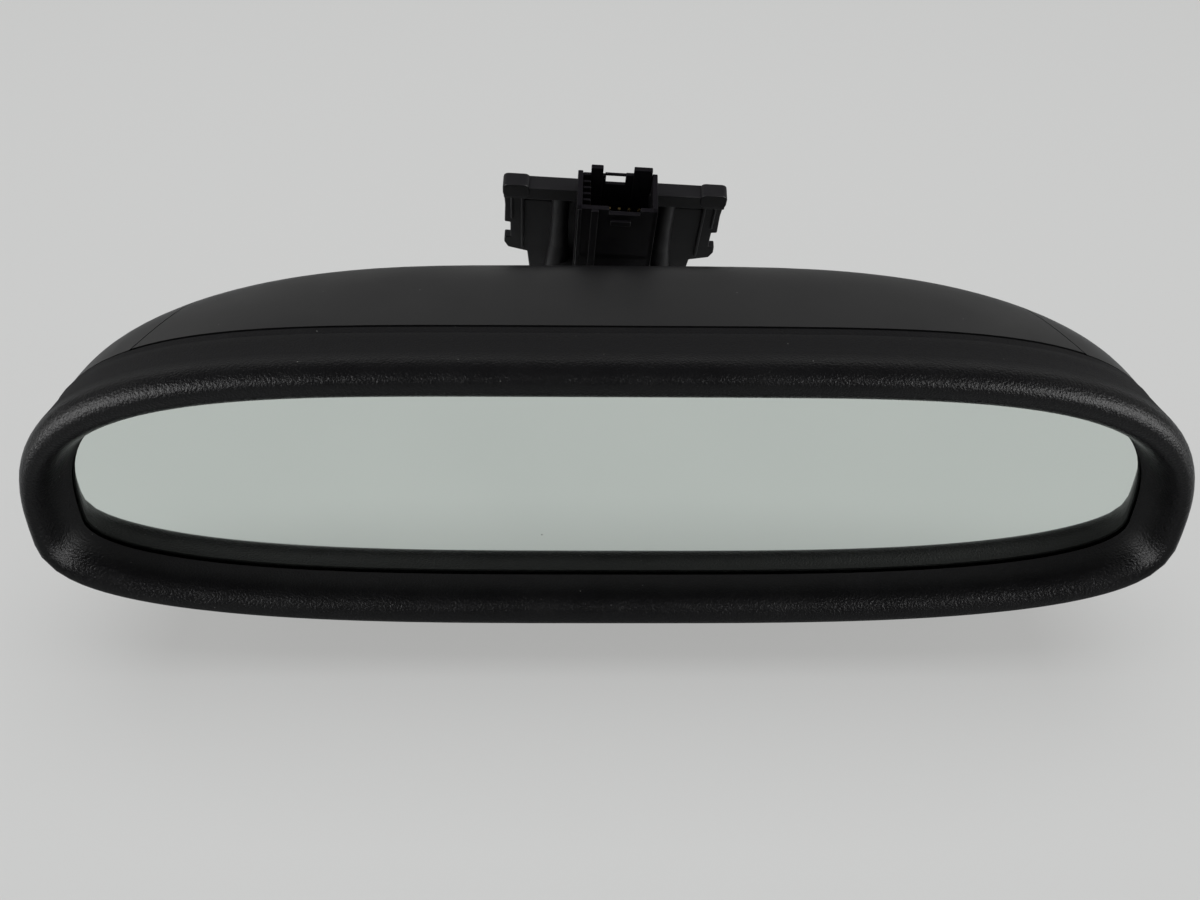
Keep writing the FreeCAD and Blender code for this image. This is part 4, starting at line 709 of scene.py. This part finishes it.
# The vehicle's wires plug in here from above: a thin-walled moulded socket with two guide posts,
# five ribs, a latch bump and ten gold-flashed pins in two rows.
socket_black = Finish("connector_black", (0.012, 0.011, 0.013), 0.34)
socket_black.bump(socket_black.noise(0.0003, 2.0), 0.00001, 0.5)
socket_black.rough(socket_black.noise(0.003, 3.0), 0.32, 0.46).gloss(0.15)
socket_black.colour_mix(socket_black.noise(0.005, 3.0),
                        (0.004, 0.0035, 0.005), (0.007, 0.006, 0.008))
SOCKET_BACK, SOCKET_FRONT, SOCKET_WALL = PLATE_FRONT, PLATE_FRONT - 12.5, 1.3
SOCKET_HALF, SOCKET_FOOT, SOCKET_TOP = 9.9, 13.0, 43.4
FLOOR_TOP = 27.0
inner = SOCKET_HALF - SOCKET_WALL
BLOCKS = (  # low X, low Z, high X, high Z, front and back of each block of the socket
    (-SOCKET_HALF, SOCKET_FOOT, -inner, SOCKET_TOP, SOCKET_FRONT, SOCKET_BACK),  # left wall
    (inner, SOCKET_FOOT, SOCKET_HALF, SOCKET_TOP, SOCKET_FRONT, SOCKET_BACK),  # right wall
    (-inner, 25.0, inner, FLOOR_TOP, SOCKET_FRONT, SOCKET_BACK),  # floor
    (-inner, SOCKET_FOOT, inner, 40.0, SOCKET_BACK - 1.0, SOCKET_BACK),  # rear wall
    (-inner, 39.0, -2.9, SOCKET_TOP - 0.6, SOCKET_BACK - 1.0, SOCKET_BACK),  # its raised ends
    (2.0, 39.0, inner, SOCKET_TOP, SOCKET_BACK - 1.0, SOCKET_BACK),
    (-3.2, 42.6, 2.6, SOCKET_TOP, SOCKET_BACK - 0.8, SOCKET_BACK - 0.2),  # bar between them
    (-6.7, SOCKET_FOOT, -3.7, 45.6, SOCKET_BACK - SOCKET_WALL, SOCKET_BACK),  # guide posts
    (3.9, SOCKET_FOOT, 8.5, 45.6, SOCKET_BACK - SOCKET_WALL, SOCKET_BACK),
    (-1.5, 38.6, 3.5, 40.2, SOCKET_FRONT - 0.9, SOCKET_FRONT),  # latch bump
    (-6.4, SOCKET_FOOT, -4.6, SOCKET_TOP, SOCKET_FRONT - 0.8, SOCKET_FRONT),  # front ribs
    (-9.6, SOCKET_FOOT, -8.7, SOCKET_TOP, SOCKET_FRONT - 0.5, SOCKET_FRONT),
)
NOTCH_LEFT, NOTCH_RIGHT, NOTCH_FOOT = -2.0, 5.6, 41.8
FRONT_OUTLINE = ((-SOCKET_HALF, SOCKET_FOOT), (SOCKET_HALF, SOCKET_FOOT),
                 (SOCKET_HALF, SOCKET_TOP), (NOTCH_RIGHT, SOCKET_TOP), (NOTCH_RIGHT, NOTCH_FOOT),
                 (NOTCH_LEFT, NOTCH_FOOT), (NOTCH_LEFT, SOCKET_TOP), (-SOCKET_HALF, SOCKET_TOP))
RIBS, RIB_PITCH, RIB_THICKNESS, RIB_REACH, RIB_TOP = 5, 2.0, 0.7, 2.0, 42.4
FIRST_RIB = SOCKET_BACK - 2.9
CONNECTOR_SHIFT = -0.3
bm = bmesh.new()
for sizes in BLOCKS:
    block(bm, *sizes)
slab(bm, FRONT_OUTLINE, SOCKET_FRONT, SOCKET_FRONT + SOCKET_WALL)
for rib in range(RIBS):
    front = FIRST_RIB - RIB_PITCH * rib
    block(bm, -inner, FLOOR_TOP, -inner + RIB_REACH, RIB_TOP, front, front + RIB_THICKNESS)
mount_mesh(bm, CONNECTOR_SHIFT)
connector = finished(bm, "connector", "mount", socket_black.material, "connector_housing")
softened(connector, 0.00022)
gold = Finish("pin_metal", (0.70, 0.52, 0.22), 0.25, 1.0)
gold.rough(gold.noise(0.0006), 0.2, 0.34)
gold.bump(gold.noise(0.0002), 0.00001, 0.5)
paint(gold, "connector_pins")

# ------------------------------------------------------------------ wires and grommet

# A taped bundle runs from the connector through a soft rubber grommet, down the hollow arm and
# ball, and on inside the head to the board's header.
jacket = Finish("wire_jacket", (0.016, 0.016, 0.017), 0.6)
jacket.bump(jacket.noise(0.0005, 3.0), 0.00005, 0.8)
jacket.colour_mix(jacket.noise(0.002, 3.0), (0.012, 0.012, 0.013), (0.024, 0.024, 0.025))
paint(jacket, "arm_wires", "head_wires")
rubber = Finish("grommet_rubber", (0.010, 0.010, 0.010), 0.7)
rubber.bump(rubber.noise(0.0005, 3.0), 0.00003)
rubber.colour_mix(rubber.noise(0.002), (0.008, 0.008, 0.008), (0.014, 0.014, 0.014))
paint(rubber, "grommet")
